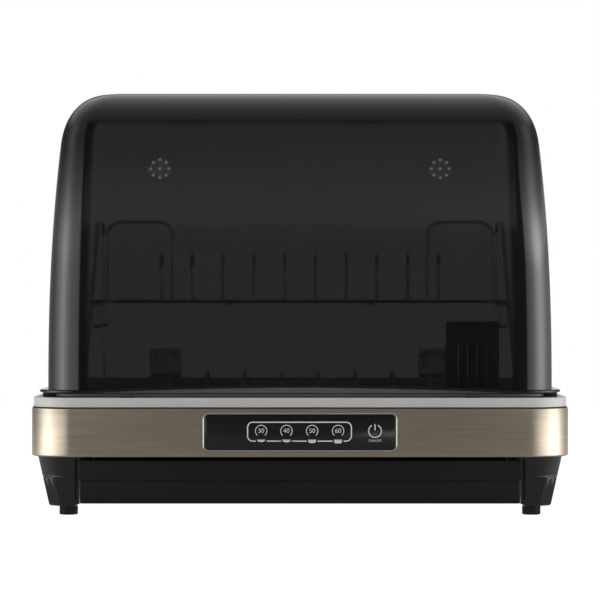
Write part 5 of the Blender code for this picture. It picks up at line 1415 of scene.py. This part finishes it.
def makeTray():
    low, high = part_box("drip_tray")
    front, rear = -low.y - tray["face"], high.y - tray["lip"]
    wall, lip, bottom, rim = tray["wall"], tray["lip"], tray["bottom"], tray["rim"]

    def loop(offset, z):
        offset = min(offset, tray["corner"] - tray["cornerLeast"])
        points = ring(tray["half"] - offset, (rear + front) / 2 - offset, tray["corner"] - offset, z, 8)[0]
        return shifted(points, 0, (rear - front) / 2)

    profile = [
        (wall + tray["slope"], bottom + wall, 0),
        (wall, bottom + wall, 3 * mm),
        (wall, rim, 0.5 * mm),
        (-lip, rim, 0.5 * mm),
        (-lip, rim - tray["lipThickness"], 0.4 * mm),
        (0, rim - tray["lipThickness"], 0.5 * mm),
        (0, bottom, 4 * mm),
        (wall + tray["slope"], bottom, 0),
    ]
    tub = swept("trayTub", softProfile(profile), loop, "satinBlack")
    hold(tub, "tray", "black_plastic", "drip_tray")
    back, step, setback = -front + wall * tray["faceOverlapShare"], tray["step"], tray["setback"]
    narrow = high.x - setback
    plates = {
        "trayFaceUpper": ((low.x, low.y, step), (high.x, back, high.z)),
        "trayFaceLower": ((-narrow, low.y + setback, low.z), (narrow, back, step + setback)),
    }
    for name, ends in plates.items():
        hold(slab(name, *ends, "trayBlack", tray["edge"], 4), "tray", "black_plastic")


makeTray()
print("tray made")


# Racks of bright wire

rack = {"frameWire": 2 * mm, "thinWire": 1.5 * mm, "bend": 12 * mm, "cross": 74 * mm, "weld": 0.5 * mm}
lower = {
    "half": 203 * mm,
    "front": -141 * mm,
    "pitch": 45 * mm,
    "bays": 6,
    "height": 82 * mm,
    "feet": 180 * mm,
    "footGap": 2 * mm,
    "pins": 8,
    "pinPitch": 37 * mm,
    "pinHeight": 58 * mm,
}
upper = {
    "half": 201 * mm,
    "front": -32 * mm,
    "pitch": 38 * mm,
    "bays": 4,
    "height": 210.1 * mm,
    "pins": 10,
    "pinPitch": 33 * mm,
    "pinHeight": 50 * mm,
    "pinBay": 2,
    "guard": (132 * mm, 199 * mm, 82 * mm),
    "guardBendShare": 1.15,
    "hookRows": (10 * mm, 90 * mm),
    "hookWire": 1.8 * mm,
    "hookGap": 0.3 * mm,
    "hookDrop": 27 * mm,
    "hookReturn": 8.8 * mm,
    "hookBend": 4.2 * mm,
}
stand = {
    "x": basin["bossX"],
    "frontFoot": basin["bossRows"][0],
    "rearFoot": basin["bossRows"][1],
    "footGap": 0.3 * mm,
    "post": 122 * mm,
    "slant": (-8 * mm, 255 * mm),
    "top": (32 * mm, 294 * mm),
    "bar": 206 * mm,
    "bend": 14 * mm,
}
rackCap = ((0, 0.3), (2.2, 0.3), (2.8, 0.9), (2.8, 6), (2, 6.4), (0, 6.4))


def rackFloor(name, size):
    half, front, z = size["half"], size["front"], size["height"]
    back = front + size["pitch"] * size["bays"]
    corners = [(0, front), (half, front), (half, back), (-half, back), (-half, front), (0, front)]
    edge = bent([(x, y, z) for x, y in corners], rack["bend"], 10)[:-1]
    rows = [front + size["pitch"] * bay for bay in range(1, size["bays"])]
    under = z - rack["frameWire"] - rack["thinWire"] + rack["weld"]
    cross = [[(x, front, under), (x, back, under)] for x in (-rack["cross"], rack["cross"])]
    return [
        wire(name + "Edge", [edge], rack["frameWire"], closed=True),
        wire(name + "Rows", [[(-half, y, z), (half, y, z)] for y in rows], rack["thinWire"]),
        wire(name + "Cross", cross, rack["frameWire"]),
    ]


def rackPins(name, size, front):
    paths = []
    foot, top, back = size["height"], size["height"] + size["pinHeight"], front + size["pitch"]
    for pin in range(size["pins"]):
        x = (pin - (size["pins"] - 1) / 2) * size["pinPitch"]
        corners = [(x, front, foot), (x, front, top), (x, back, top), (x, back, foot)]
        paths.append(bent(corners, rack["bend"], 8))
    return wire(name, paths, rack["thinWire"])


def makeLowerRack():
    pieces = rackFloor("lower", lower)
    pieces.append(rackPins("lowerPins", lower, lower["front"]))
    back = lower["front"] + lower["pitch"] * lower["bays"]
    spots = [(x, y) for x in (-lower["feet"], lower["feet"]) for y in (lower["front"], back)]
    paths = [[(x, y, lower["height"]), (x, y, basinFloor + lower["footGap"])] for x, y in spots]
    pieces.append(wire("lowerFeet", paths, rack["frameWire"]))
    hold(merged("lowerRackWires", pieces), "lower_shelf", "wire", "lower_rack")
    cap = turned("cap", [(radius * mm, height * mm) for radius, height in rackCap], "softRubber", sides=24)
    caps = copies("lowerRackCaps", cap, [(x, y, basinFloor) for x, y in spots], "softRubber")
    return hold(caps, "lower_shelf", "rubber")


def makeUpperRack():
    pieces = rackFloor("upper", upper)
    pieces.append(rackPins("upperPins", upper, upper["front"] + upper["pitch"] * upper["pinBay"]))
    inner, outer, rise = upper["guard"]
    z, front = upper["height"], upper["front"]
    guards, hooks = [], []
    reach = stand["x"] + rack["frameWire"] + upper["hookGap"] + upper["hookWire"]
    low, back = z - upper["hookDrop"], upper["hookReturn"]
    for side in (-1, 1):
        corners = [(inner, z), (inner, z + rise), (outer, z + rise), (outer, z)]
        path = [(side * x, front, height) for x, height in corners]
        guards.append(bent(path, rack["bend"] * upper["guardBendShare"], 10))
        corners = [(upper["half"], z), (reach, z), (reach, low)]
        corners += [(reach - back, low), (reach - back, low + back)]
        for y in upper["hookRows"]:
            path = [(side * x, y, height) for x, height in corners]
            hooks.append(bent(path, upper["hookBend"], 8))
    pieces.append(wire("guards", guards, rack["frameWire"]))
    pieces.append(wire("hooks", hooks, upper["hookWire"]))
    return hold(merged("upperRackWires", pieces), "upper_shelf", "wire", "upper_rack")


def makeStand(side, sign):
    x, front, rear, post, bar = (stand[key] for key in ("x", "frontFoot", "rearFoot", "post", "bar"))
    (slantY, slantZ), (topY, topZ), foot = stand["slant"], stand["top"], basinFloor + stand["footGap"]
    corners = [(front, foot), (front, post), (slantY, slantZ), (topY, topZ), (rear, topZ), (rear, foot)]
    path = bent([(sign * x, y, z) for y, z in corners], stand["bend"], 10)
    barFront = front + (bar - post) / (slantZ - post) * (slantY - front)
    wires = [wire("loop", [path], rack["frameWire"])]
    wires.append(wire("bar", [[(sign * x, barFront, bar), (sign * x, rear, bar)]], rack["frameWire"]))
    return hold(merged(f"sideFrameWires_{side}", wires), "upper_shelf", "wire", f"side_frame_{side}")


makeLowerRack()
makeUpperRack()
for side, sign in leftAndRight:
    makeStand(side, sign)


# Utensil basket

basket = {
    "wall": 1.8 * mm,
    "corner": 6 * mm,
    "cornerLeast": 0.6 * mm,
    "slope": 5 * mm,
    "foot": 14 * mm,
    "slot": 3.4 * mm,
    "slotHeight": 70 * mm,
    "pitch": 9.5 * mm,
}


def makeBasket():
    low, high, centre = extent("utensil_basket")
    half, wall = (high - low) / 2, basket["wall"]

    def loop(inset, z):
        corner = max(basket["cornerLeast"], basket["corner"] - inset)
        return shifted(ring(half.x - inset, half.y - inset, corner, z, 8)[0], centre.x, centre.y)

    profile = [
        (wall + basket["slope"], low.z + wall, 0),
        (wall, low.z + wall, 1.5 * mm),
        (wall, high.z, 0.6 * mm),
        (0, high.z, 0.6 * mm),
        (0, low.z, 2.5 * mm),
        (wall + basket["slope"], low.z, 0),
    ]
    cup = swept("basketShell", softProfile(profile), loop, "basketGrey")
    middle = low.z + basket["foot"] + basket["slotHeight"] / 2
    for axis in (0, 1):
        # Slots through the long walls first, then through the short ones
        count = int((2 * half[axis] - 2 * basket["corner"]) / basket["pitch"])
        step, size = [0, 0, 0], [4 * half.x, 4 * half.y, basket["slotHeight"]]
        step[axis], size[axis] = basket["pitch"], basket["slot"]
        start = [centre.x, centre.y, middle]
        start[axis] -= (count - 1) / 2 * basket["pitch"]
        values = {"Count": count, "Start": start, "Step": step, "Size": size}
        cut(cup, grow("slots", "row", values, "basketGrey"))
    return hold(cup, "basket", "grey_plastic", "utensil_basket")


makeBasket()
print("racks made")


# Hinges at the back

hinge = {
    "x": 150 * mm,
    "y": 181 * mm,
    "z": 126 * mm,
    "barrel": 3.6 * mm,
    "length": 24 * mm,
    "pin": 1.6 * mm,
    "pinHead": 1.2 * mm,
    "pinEdge": 0.4 * mm,
    "pinEdgeShare": 0.8,
    "bore": 1.9 * mm,
    "arm": 2.2 * mm,
    "armGap": 0.3 * mm,
    "armEdge": 0.8 * mm,
    "web": 3.6 * mm,
    "webSink": 1 * mm,
    "webGap": 0.5 * mm,
    "plate": 1.6 * mm,
    "plateHeight": 11 * mm,
    "plateEdge": 0.5 * mm,
    "ear": 3 * mm,
    "earGap": 0.4 * mm,
    "earRadius": 3.1 * mm,
    "earRise": 0.2 * mm,
    "armScrews": (11 * mm, 8 * mm),
    "plateScrews": (7 * mm, 5.6 * mm),
    "plateScrewSize": 0.85,
}


def hingeEnds(x, reach):
    return [(x + way * reach, hinge["y"], hinge["z"]) for way in (-1, 1)]


def makeArm(side, x):
    low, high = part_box(f"lid_hinge_{side}")
    half, back, web = hinge["length"] / 2, low.y + hinge["arm"], hinge["web"] / 2
    ends = (low.x, low.y, domeFoot + hinge["armGap"]), (high.x, back, high.z)
    arm = settle(slab(f"lidHinge_{side}", *ends, "smokeHinge", hinge["armEdge"]))
    start = (x - half, back - hinge["webSink"], hinge["z"] - web)
    end = (x + half, hinge["y"] - hinge["pin"] - hinge["webGap"], hinge["z"] + web)
    weld(arm, block(start, end), rod(*hingeEnds(x, half), hinge["barrel"], 40))
    cut(arm, rod(*hingeEnds(x, 2 * half), hinge["bore"], 24))
    hold(arm, "lid", "smoke_plastic", f"lid_hinge_{side}")
    apart, drop = hinge["armScrews"]
    spots = [(x + way * apart, back, high.z - drop) for way in (-1, 1)]
    screws(f"hingeScrews_{side}", spots, (0, 1, 0), "lid")


def makeBracket(side, x):
    low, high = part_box(f"hinge_bracket_{side}")
    half, plate, radius = hinge["length"] / 2, high.y - hinge["plate"], hinge["earRadius"]
    ends = (low.x, plate, low.z), (high.x, high.y, low.z + hinge["plateHeight"])
    bracket = settle(slab(f"hingeBracket_{side}", *ends, "satinBlack", hinge["plateEdge"]))
    ledge = basinLedge + hinge["earRise"]
    outline = [(hinge["y"] - radius, ledge), (plate, ledge), (plate, low.z)]
    outline += [(high.y, low.z), (high.y, rimTop)]
    outline += [(hinge["y"] + radius * across, hinge["z"] + radius * up) for across, up in sweep(16, 2)]
    ears = []
    for way in (-1, 1):
        start = x + way * (half + hinge["earGap"])
        ears.append(loft([[(at, y, z) for y, z in outline] for at in (start, start + way * hinge["ear"])]))
    weld(bracket, *ears)
    cut(bracket, rod(*hingeEnds(x, 2 * half), hinge["bore"], 24))
    hold(bracket, "base", "black_plastic", f"hinge_bracket_{side}")
    apart, rise = hinge["plateScrews"]
    spots = [(x + way * apart, high.y, low.z + rise) for way in (-1, 1)]
    screws(f"bracketScrews_{side}", spots, (0, 1, 0), "base", hinge["plateScrewSize"])


def makePin(side):
    low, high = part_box(f"hinge_pin_{side}")
    head, length = (high.z - low.z) / 2, high.x - low.x
    half = [(0, 0), (head * hinge["pinEdgeShare"], 0), (head, hinge["pinEdge"])]
    half += [(head, hinge["pinHead"]), (hinge["pin"], hinge["pinHead"])]
    profile = half + [(radius, length - along) for radius, along in half[::-1]]
    place = (low.x, hinge["y"], hinge["z"])
    pin = turned(f"hingePin_{side}", profile, "platedZinc", place, (1, 0, 0), 32)
    hold(pin, "base", "zinc", f"hinge_pin_{side}")


for side, sign in leftAndRight:
    makeArm(side, sign * hinge["x"])
    makeBracket(side, sign * hinge["x"])
    makePin(side)
print("hinges made")


# Lamp, grille, strainer, inlet

lamp = {
    "radius": 7.5 * mm,
    "wall": 0.8 * mm,
    "insert": 2 * mm,
    "capRadius": 8 * mm,
    "capLength": 8 * mm,
    "capEdge": 0.5 * mm,
    "coil": 0.8 * mm,
    "coilHalf": 2.5 * mm,
    "coilTurns": 6,
    "coilReach": 9 * mm,
    "coilStart": 1 * mm,
    "coilWire": 0.3 * mm,
    "holderEdge": 1.4 * mm,
}


def makeLamp():
    _, high, centre = extent("uv_lamp")
    y, z, inner = centre.y, centre.z, high.x - lamp["capLength"]
    start, length, outer = -inner - lamp["insert"], 2 * (inner + lamp["insert"]), lamp["radius"]
    profile = [(outer, 0), (outer, length), (outer - lamp["wall"], length), (outer - lamp["wall"], 0)]
    tube = turned("lampTube", profile, "tubeGlass", (start, y, z), (1, 0, 0), 40, closed=True)
    hold(tube, "base", "lamp_glass", "uv_lamp")
    radius, length, edge = lamp["capRadius"], lamp["capLength"], lamp["capEdge"]
    profile = [(0, 0), (radius - edge, 0), (radius, edge)]
    profile += [(radius, length - edge), (radius - edge, length), (0, length)]
    caps, coils = [], []
    half, steps = lamp["coilHalf"], 16 * lamp["coilTurns"]
    for sign in (-1, 1):
        caps.append(turned("lampCap", profile, "platedZinc", (sign * inner, y, z), (sign, 0, 0), 40))
        start = sign * (inner - lamp["coilStart"])
        end = start - sign * lamp["coilReach"]
        coils += [[(start, y, z + lift), (end, y, z + lift)] for lift in (-half, half)]
        turns = []
        for step, (across, aside) in enumerate(sweep(steps, 4 * lamp["coilTurns"])):
            height = z - half + 2 * half * step / steps
            turns.append((end + lamp["coil"] * across, y + lamp["coil"] * aside, height))
        coils.append(turns)
    hold(merged("lampCaps", caps), "base", "zinc")
    hold(wire("lampElectrodes", coils, lamp["coilWire"], "platedZinc", sides=8), "base", "zinc")
    for side, _ in leftAndRight:
        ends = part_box(f"lamp_holder_{side}")
        holder = slab(f"lampHolder_{side}", *ends, "rimWhite", lamp["holderEdge"], 4)
        hold(holder, "base", "white_plastic", f"lamp_holder_{side}")


grille = {
    "margin": 3 * mm,
    "border": 5.5 * mm,
    "reach": 5 * mm,
    "edge": 0.5 * mm,
    "slats": 13,
    "slat": 2.6 * mm,
    "slatShare": 0.8,
    "slatOverlap": 0.6 * mm,
    "slatEdge": 0.4 * mm,
}


def makeGrille():
    low, high, centre = extent("air_grille")
    margin, border, count, reach = (grille[key] for key in ("margin", "border", "slats", "reach"))
    outer = addPiece("grilleFrame", block(low, high), "rimWhite", flat=True)
    start = (low.x + border, low.y - reach, low.z + margin)
    cut(outer, block(start, (high.x - border, high.y + reach, high.z - margin)))
    hold(bevel(outer, grille["edge"], 2), "base", "white_plastic", "air_grille")
    pitch = (high.x - low.x - 2 * border) / (count + 1)
    height = high.z - low.z - 2 * margin + grille["slatOverlap"]
    values = {
        "Count": count,
        "Start": (low.x + border + pitch, centre.y, centre.z),
        "Step": (pitch, 0, 0),
        "Size": (grille["slat"], (high.y - low.y) * grille["slatShare"], height),
    }
    slats = grow("grilleSlats", "row", values, "rimWhite")
    hold(bevel(slats, grille["slatEdge"], 2), "base", "white_plastic")


strainer = {
    "gap": 0.3 * mm,
    "wall": 1.2 * mm,
    "lip": 1.6 * mm,
    "edge": (0.8 * mm, 0.7 * mm),
    "lipDrop": 0.3 * mm,
    "fillet": 2 * mm,
    "foot": 1 * mm,
    "hole": 0.9 * mm,
    "drillReach": 3 * mm,
    "rings": ((6, 3 * mm), (12, 6.2 * mm)),
}


def makeStrainer():
    low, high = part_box("drain_strainer")
    rim, cup = (high.x - low.x) / 2, basin["drain"] - strainer["gap"]
    wall, foot = strainer["wall"], strainer["foot"]
    bottom, floor, top = low.z, low.z + wall, high.z
    fillet, (across, down) = strainer["fillet"], strainer["edge"]
    profile = [(0, floor), (cup - fillet, floor), (cup - wall, bottom + fillet)]
    profile += [(cup - wall, top - strainer["lipDrop"]), (cup - wall / 2, top)]
    profile += [(rim - across, top), (rim, top - down), (rim, top - strainer["lip"])]
    profile += [(cup, top - strainer["lip"])]
    profile += [(cup, bottom + foot), (cup - foot, bottom), (0, bottom)]
    piece = turned("strainerCup", profile, "slateGrey")
    reach = strainer["drillReach"]
    drill = addPiece("drill", post(0, 0, -reach, reach, strainer["hole"], 16), "slateGrey")
    points = [(0, 0, bottom)]
    for count, radius in strainer["rings"]:
        points += [(radius * across, radius * aside, bottom) for across, aside in sweep(count, 4)[:-1]]
    cut(piece, copies("drills", drill, points, "slateGrey"))
    hold(piece, "base", "grey_plastic", "drain_strainer")


inlet = {"bore": 3.4 * mm, "neck": 6.6 * mm, "flange": 2.2 * mm, "edge": 0.7 * mm}


def makeInlet():
    low, high, centre = extent("cord_inlet")
    flange, depth = (high.x - low.x) / 2, high.y - low.y
    bore, neck, seat = inlet["bore"], inlet["neck"], depth - inlet["flange"]
    profile = [
        (bore, depth / 2, 0),
        (bore, depth, 1 * mm),
        (flange, depth - inlet["edge"], inlet["edge"]),
        (flange, seat, 0.3 * mm),
        (neck, seat, 0.1 * mm),
        (neck, 0, 0.5 * mm),
        (bore, 0, 0.5 * mm),
    ]
    place = (centre.x, low.y, centre.z)
    bush = turned("cordBush", softProfile(profile), "softRubber", place, (0, 1, 0), 40, closed=True)
    hold(bush, "base", "rubber", "cord_inlet")


makeLamp()
makeGrille()
makeStrainer()
makeInlet()
print("small pieces made")

carried = {
    "bottom_cover": "housingBlack",
    "tray_rail_left": "slateGrey",
    "tray_rail_right": "slateGrey",
    "control_board": "boardGreen",
    "power_board": "boardGreen",
    "heater_duct": "platedZinc",
    "ptc_heater": "heaterCeramic",
    "thermal_cutout": "platedZinc",
    "blower_housing": "slateGrey",
    "fan_motor": "platedZinc",
    "fan_wheel": "slateGrey",
    "motor_shaft": "platedZinc",
    "drain_seal": "softRubber",
}
coverScrews = {"columns": (-190 * mm, -70 * mm, 60 * mm, 196 * mm), "inset": 8 * mm}
for name, finish in carried.items():
    coat(nodes[name].data, finishes[finish])
low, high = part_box("bottom_cover")
rows = (low.y + coverScrews["inset"], high.y - coverScrews["inset"])
spots = [(x, y, low.z) for x in coverScrews["columns"] for y in rows]
screws("coverScrews", spots, (0, 0, -1), "base")
print("carried nodes finished:", len(carried))


# Floor, studio and camera

studio = {
    "floorShown": 1.02,
    "floorHalf": 2.2,
    "floorNear": 0.214,
    "floorFar": 0.16,
    "floorSide": 2.05,
    "nearSide": 1.0,
    "farSide": 1.1,
    # Where the floor changes: squares of x for the sides, y for front and back
    "aside": (0.18, 0.3),
    "closeAside": (0.5, 1.1),
    "behind": (-0.35, 0.15),
    "behindShare": 0.85,
    "near": (-1.1, -0.75),
    "far": (-1.5, -0.9),
    "ceiling": (0.3, 1.0),
    "ceilingSpan": (-0.9, 0.4),
    "brightest": 6.0,
    # Light from round about, as (degrees from the front, strength), left side negative
    "round": (
        (-180, 0.8), (-146, 0.3), (-124, 0.37), (-112, 0.62), (-102, 1.05), (-92, 1.75), (-84, 2.35),
        (-75, 3.3), (-68, 3.6), (-60, 2.9), (-52, 2.3), (-45, 1.75), (-38, 1.45), (-25, 1.25), (-18, 1.1),
        (-14, 0.6), (-10, 0.06), (0, 0.06), (20, 0.06), (29, 0.1), (35, 0.95), (43, 1.2), (50, 1.6),
        (58, 2.15), (65, 3.0), (73, 3.85), (81, 4.2), (90, 3.8), (99, 2.8), (109, 1.7), (121, 0.95),
        (135, 0.55), (154, 0.35), (180, 0.8),
    ),
    "fade": (0.26, 0.6),
    "dim": (0.07, 0.16),
    "dimShare": 0.76,
    "swellStart": (0.05, 0.075),
    "swellEnd": (0.085, 0.115),
    "swellLeft": 0.15,
    "swellRight": 0.52,
    "rightFrom": (0.0, 0.1),
    "lean": (0.05, 0.13),
    "leanTurn": 0.22,
    "glow": 0.17,
    "glowWidth": (0.012, 0.03),
    "glowFoot": (0.069, 0.077),
    "glowTilt": 0.137,
    "glowSteps": ((0.124, 0.127, 0.6), (0.135, 0.138, 0.7)),
}
view = {"distance": 2.618, "height": 0.2114, "lens": 150, "sensor": 36}


def lightSplit(graph, shown, light):
    # The camera sees one strength, everything that is lit gets the other
    seen = graph.add("ShaderNodeLightPath", output="Is Camera Ray")
    return light * (1 - seen) + seen * shown


def makeFloor():
    mesh = bmesh.new()
    bmesh.ops.create_grid(mesh, x_segments=1, y_segments=1, size=studio["floorHalf"])
    floor = addPiece("floor", mesh, "rimWhite", flat=True)
    paint = Finish("paleFloor", (0, 0, 0), 1, **{"Emission Color": (1, 1, 1, 1)})
    parts = paint.tree.nodes.new("ShaderNodeSeparateXYZ")
    paint.feed(parts.inputs[0], paint.place)
    x, y = Value(paint, parts.outputs[0]), Value(paint, parts.outputs[1])
    aside = paint.smooth(x * x, *studio["aside"])
    behind = paint.smooth(y, *studio["behind"]) * studio["behindShare"]
    far = 1 - paint.smooth(y, *studio["far"])
    near = paint.smooth(y, *studio["near"])
    middle = near * (studio["floorNear"] - studio["floorFar"]) + studio["floorFar"]
    close = near * (1 - paint.smooth(x * x, *studio["closeAside"]))
    beside = (far * studio["farSide"] + close * studio["nearSide"] + 1) * studio["floorSide"]
    lit = middle * (1 - aside) + aside * (1 - behind) * beside
    paint.set("Emission Strength", lightSplit(paint, studio["floorShown"], lit))
    coat(floor.data, paint.material)


def makeWorld():
    world = bpy.data.worlds.new("studio")
    scene.world = world
    world.use_nodes = True
    sky = Graph(world.node_tree)
    shown = world.node_tree.nodes["Background"]
    sky.feed(shown.inputs["Color"], (1, 1, 1, 1))
    parts = world.node_tree.nodes.new("ShaderNodeSeparateXYZ")
    sky.feed(parts.inputs[0], sky.add("ShaderNodeTexCoord", output="Generated"))
    x, y, z = (Value(sky, socket) for socket in parts.outputs)
    bearing = sky.add("ShaderNodeMath", {"operation": "ARCTAN2"}, x, y * -1)
    curve = world.node_tree.nodes.new("ShaderNodeFloatCurve")
    dots = curve.mapping.curves[0].points
    marks = [(degrees / 360 + 0.5, strength / studio["brightest"]) for degrees, strength in studio["round"]]
    dots[0].location, dots[1].location = marks[0], marks[-1]
    for mark in marks[1:-1]:
        dots.new(*mark)
    for dot in dots:
        dot.handle_type = "AUTO_CLAMPED"
    curve.mapping.update()
    # On the right the light reaches nearer to the front the higher it is
    right = sky.smooth(x, *studio["rightFrom"])
    shift = sky.smooth(z, *studio["lean"]) * right * studio["leanTurn"]
    sky.feed(curve.inputs["Value"], (bearing + shift) * (0.5 / math.pi) + 0.5)
    high = sky.smooth(z, *studio["fade"])
    dimmed = 1 - sky.smooth(z, *studio["dim"]) * studio["dimShare"]
    # The sides are brightest a little above the worktop, the right one most
    swell = sky.smooth(z, *studio["swellStart"]) * (1 - sky.smooth(z, *studio["swellEnd"]))
    share = right * (studio["swellRight"] - studio["swellLeft"]) + studio["swellLeft"]
    dimmed = dimmed * (swell * share + 1)
    front, back = studio["ceiling"]
    above = sky.smooth(y, *studio["ceilingSpan"]) * (back - front) + front
    # A paler strip far in front, which the window of the lid mirrors faintly
    tilted = z - x * studio["glowTilt"]
    strip = sky.smooth(z, *studio["glowFoot"])
    for start, end, loss in studio["glowSteps"]:
        strip = strip * (1 - sky.smooth(tilted, start, end) * loss)
    ahead = 1 - sky.smooth(x * x, *studio["glowWidth"])
    around = Value(sky, curve.outputs[0]) * studio["brightest"] + strip * ahead * studio["glow"]
    light = around * dimmed * (1 - high) + high * above
    sky.feed(shown.inputs["Strength"], lightSplit(sky, 1.0, light))


def makeCamera():
    data = bpy.data.cameras.new("camera")
    data.lens = view["lens"]
    data.sensor_width = view["sensor"]
    camera = addObject("camera", data)
    camera.location = (0, -view["distance"], view["height"])
    camera.rotation_euler = (math.pi / 2, 0, 0)
    scene.camera = camera
    scene.view_settings.view_transform = "Standard"


makeFloor()
makeWorld()
makeCamera()
print("studio made")
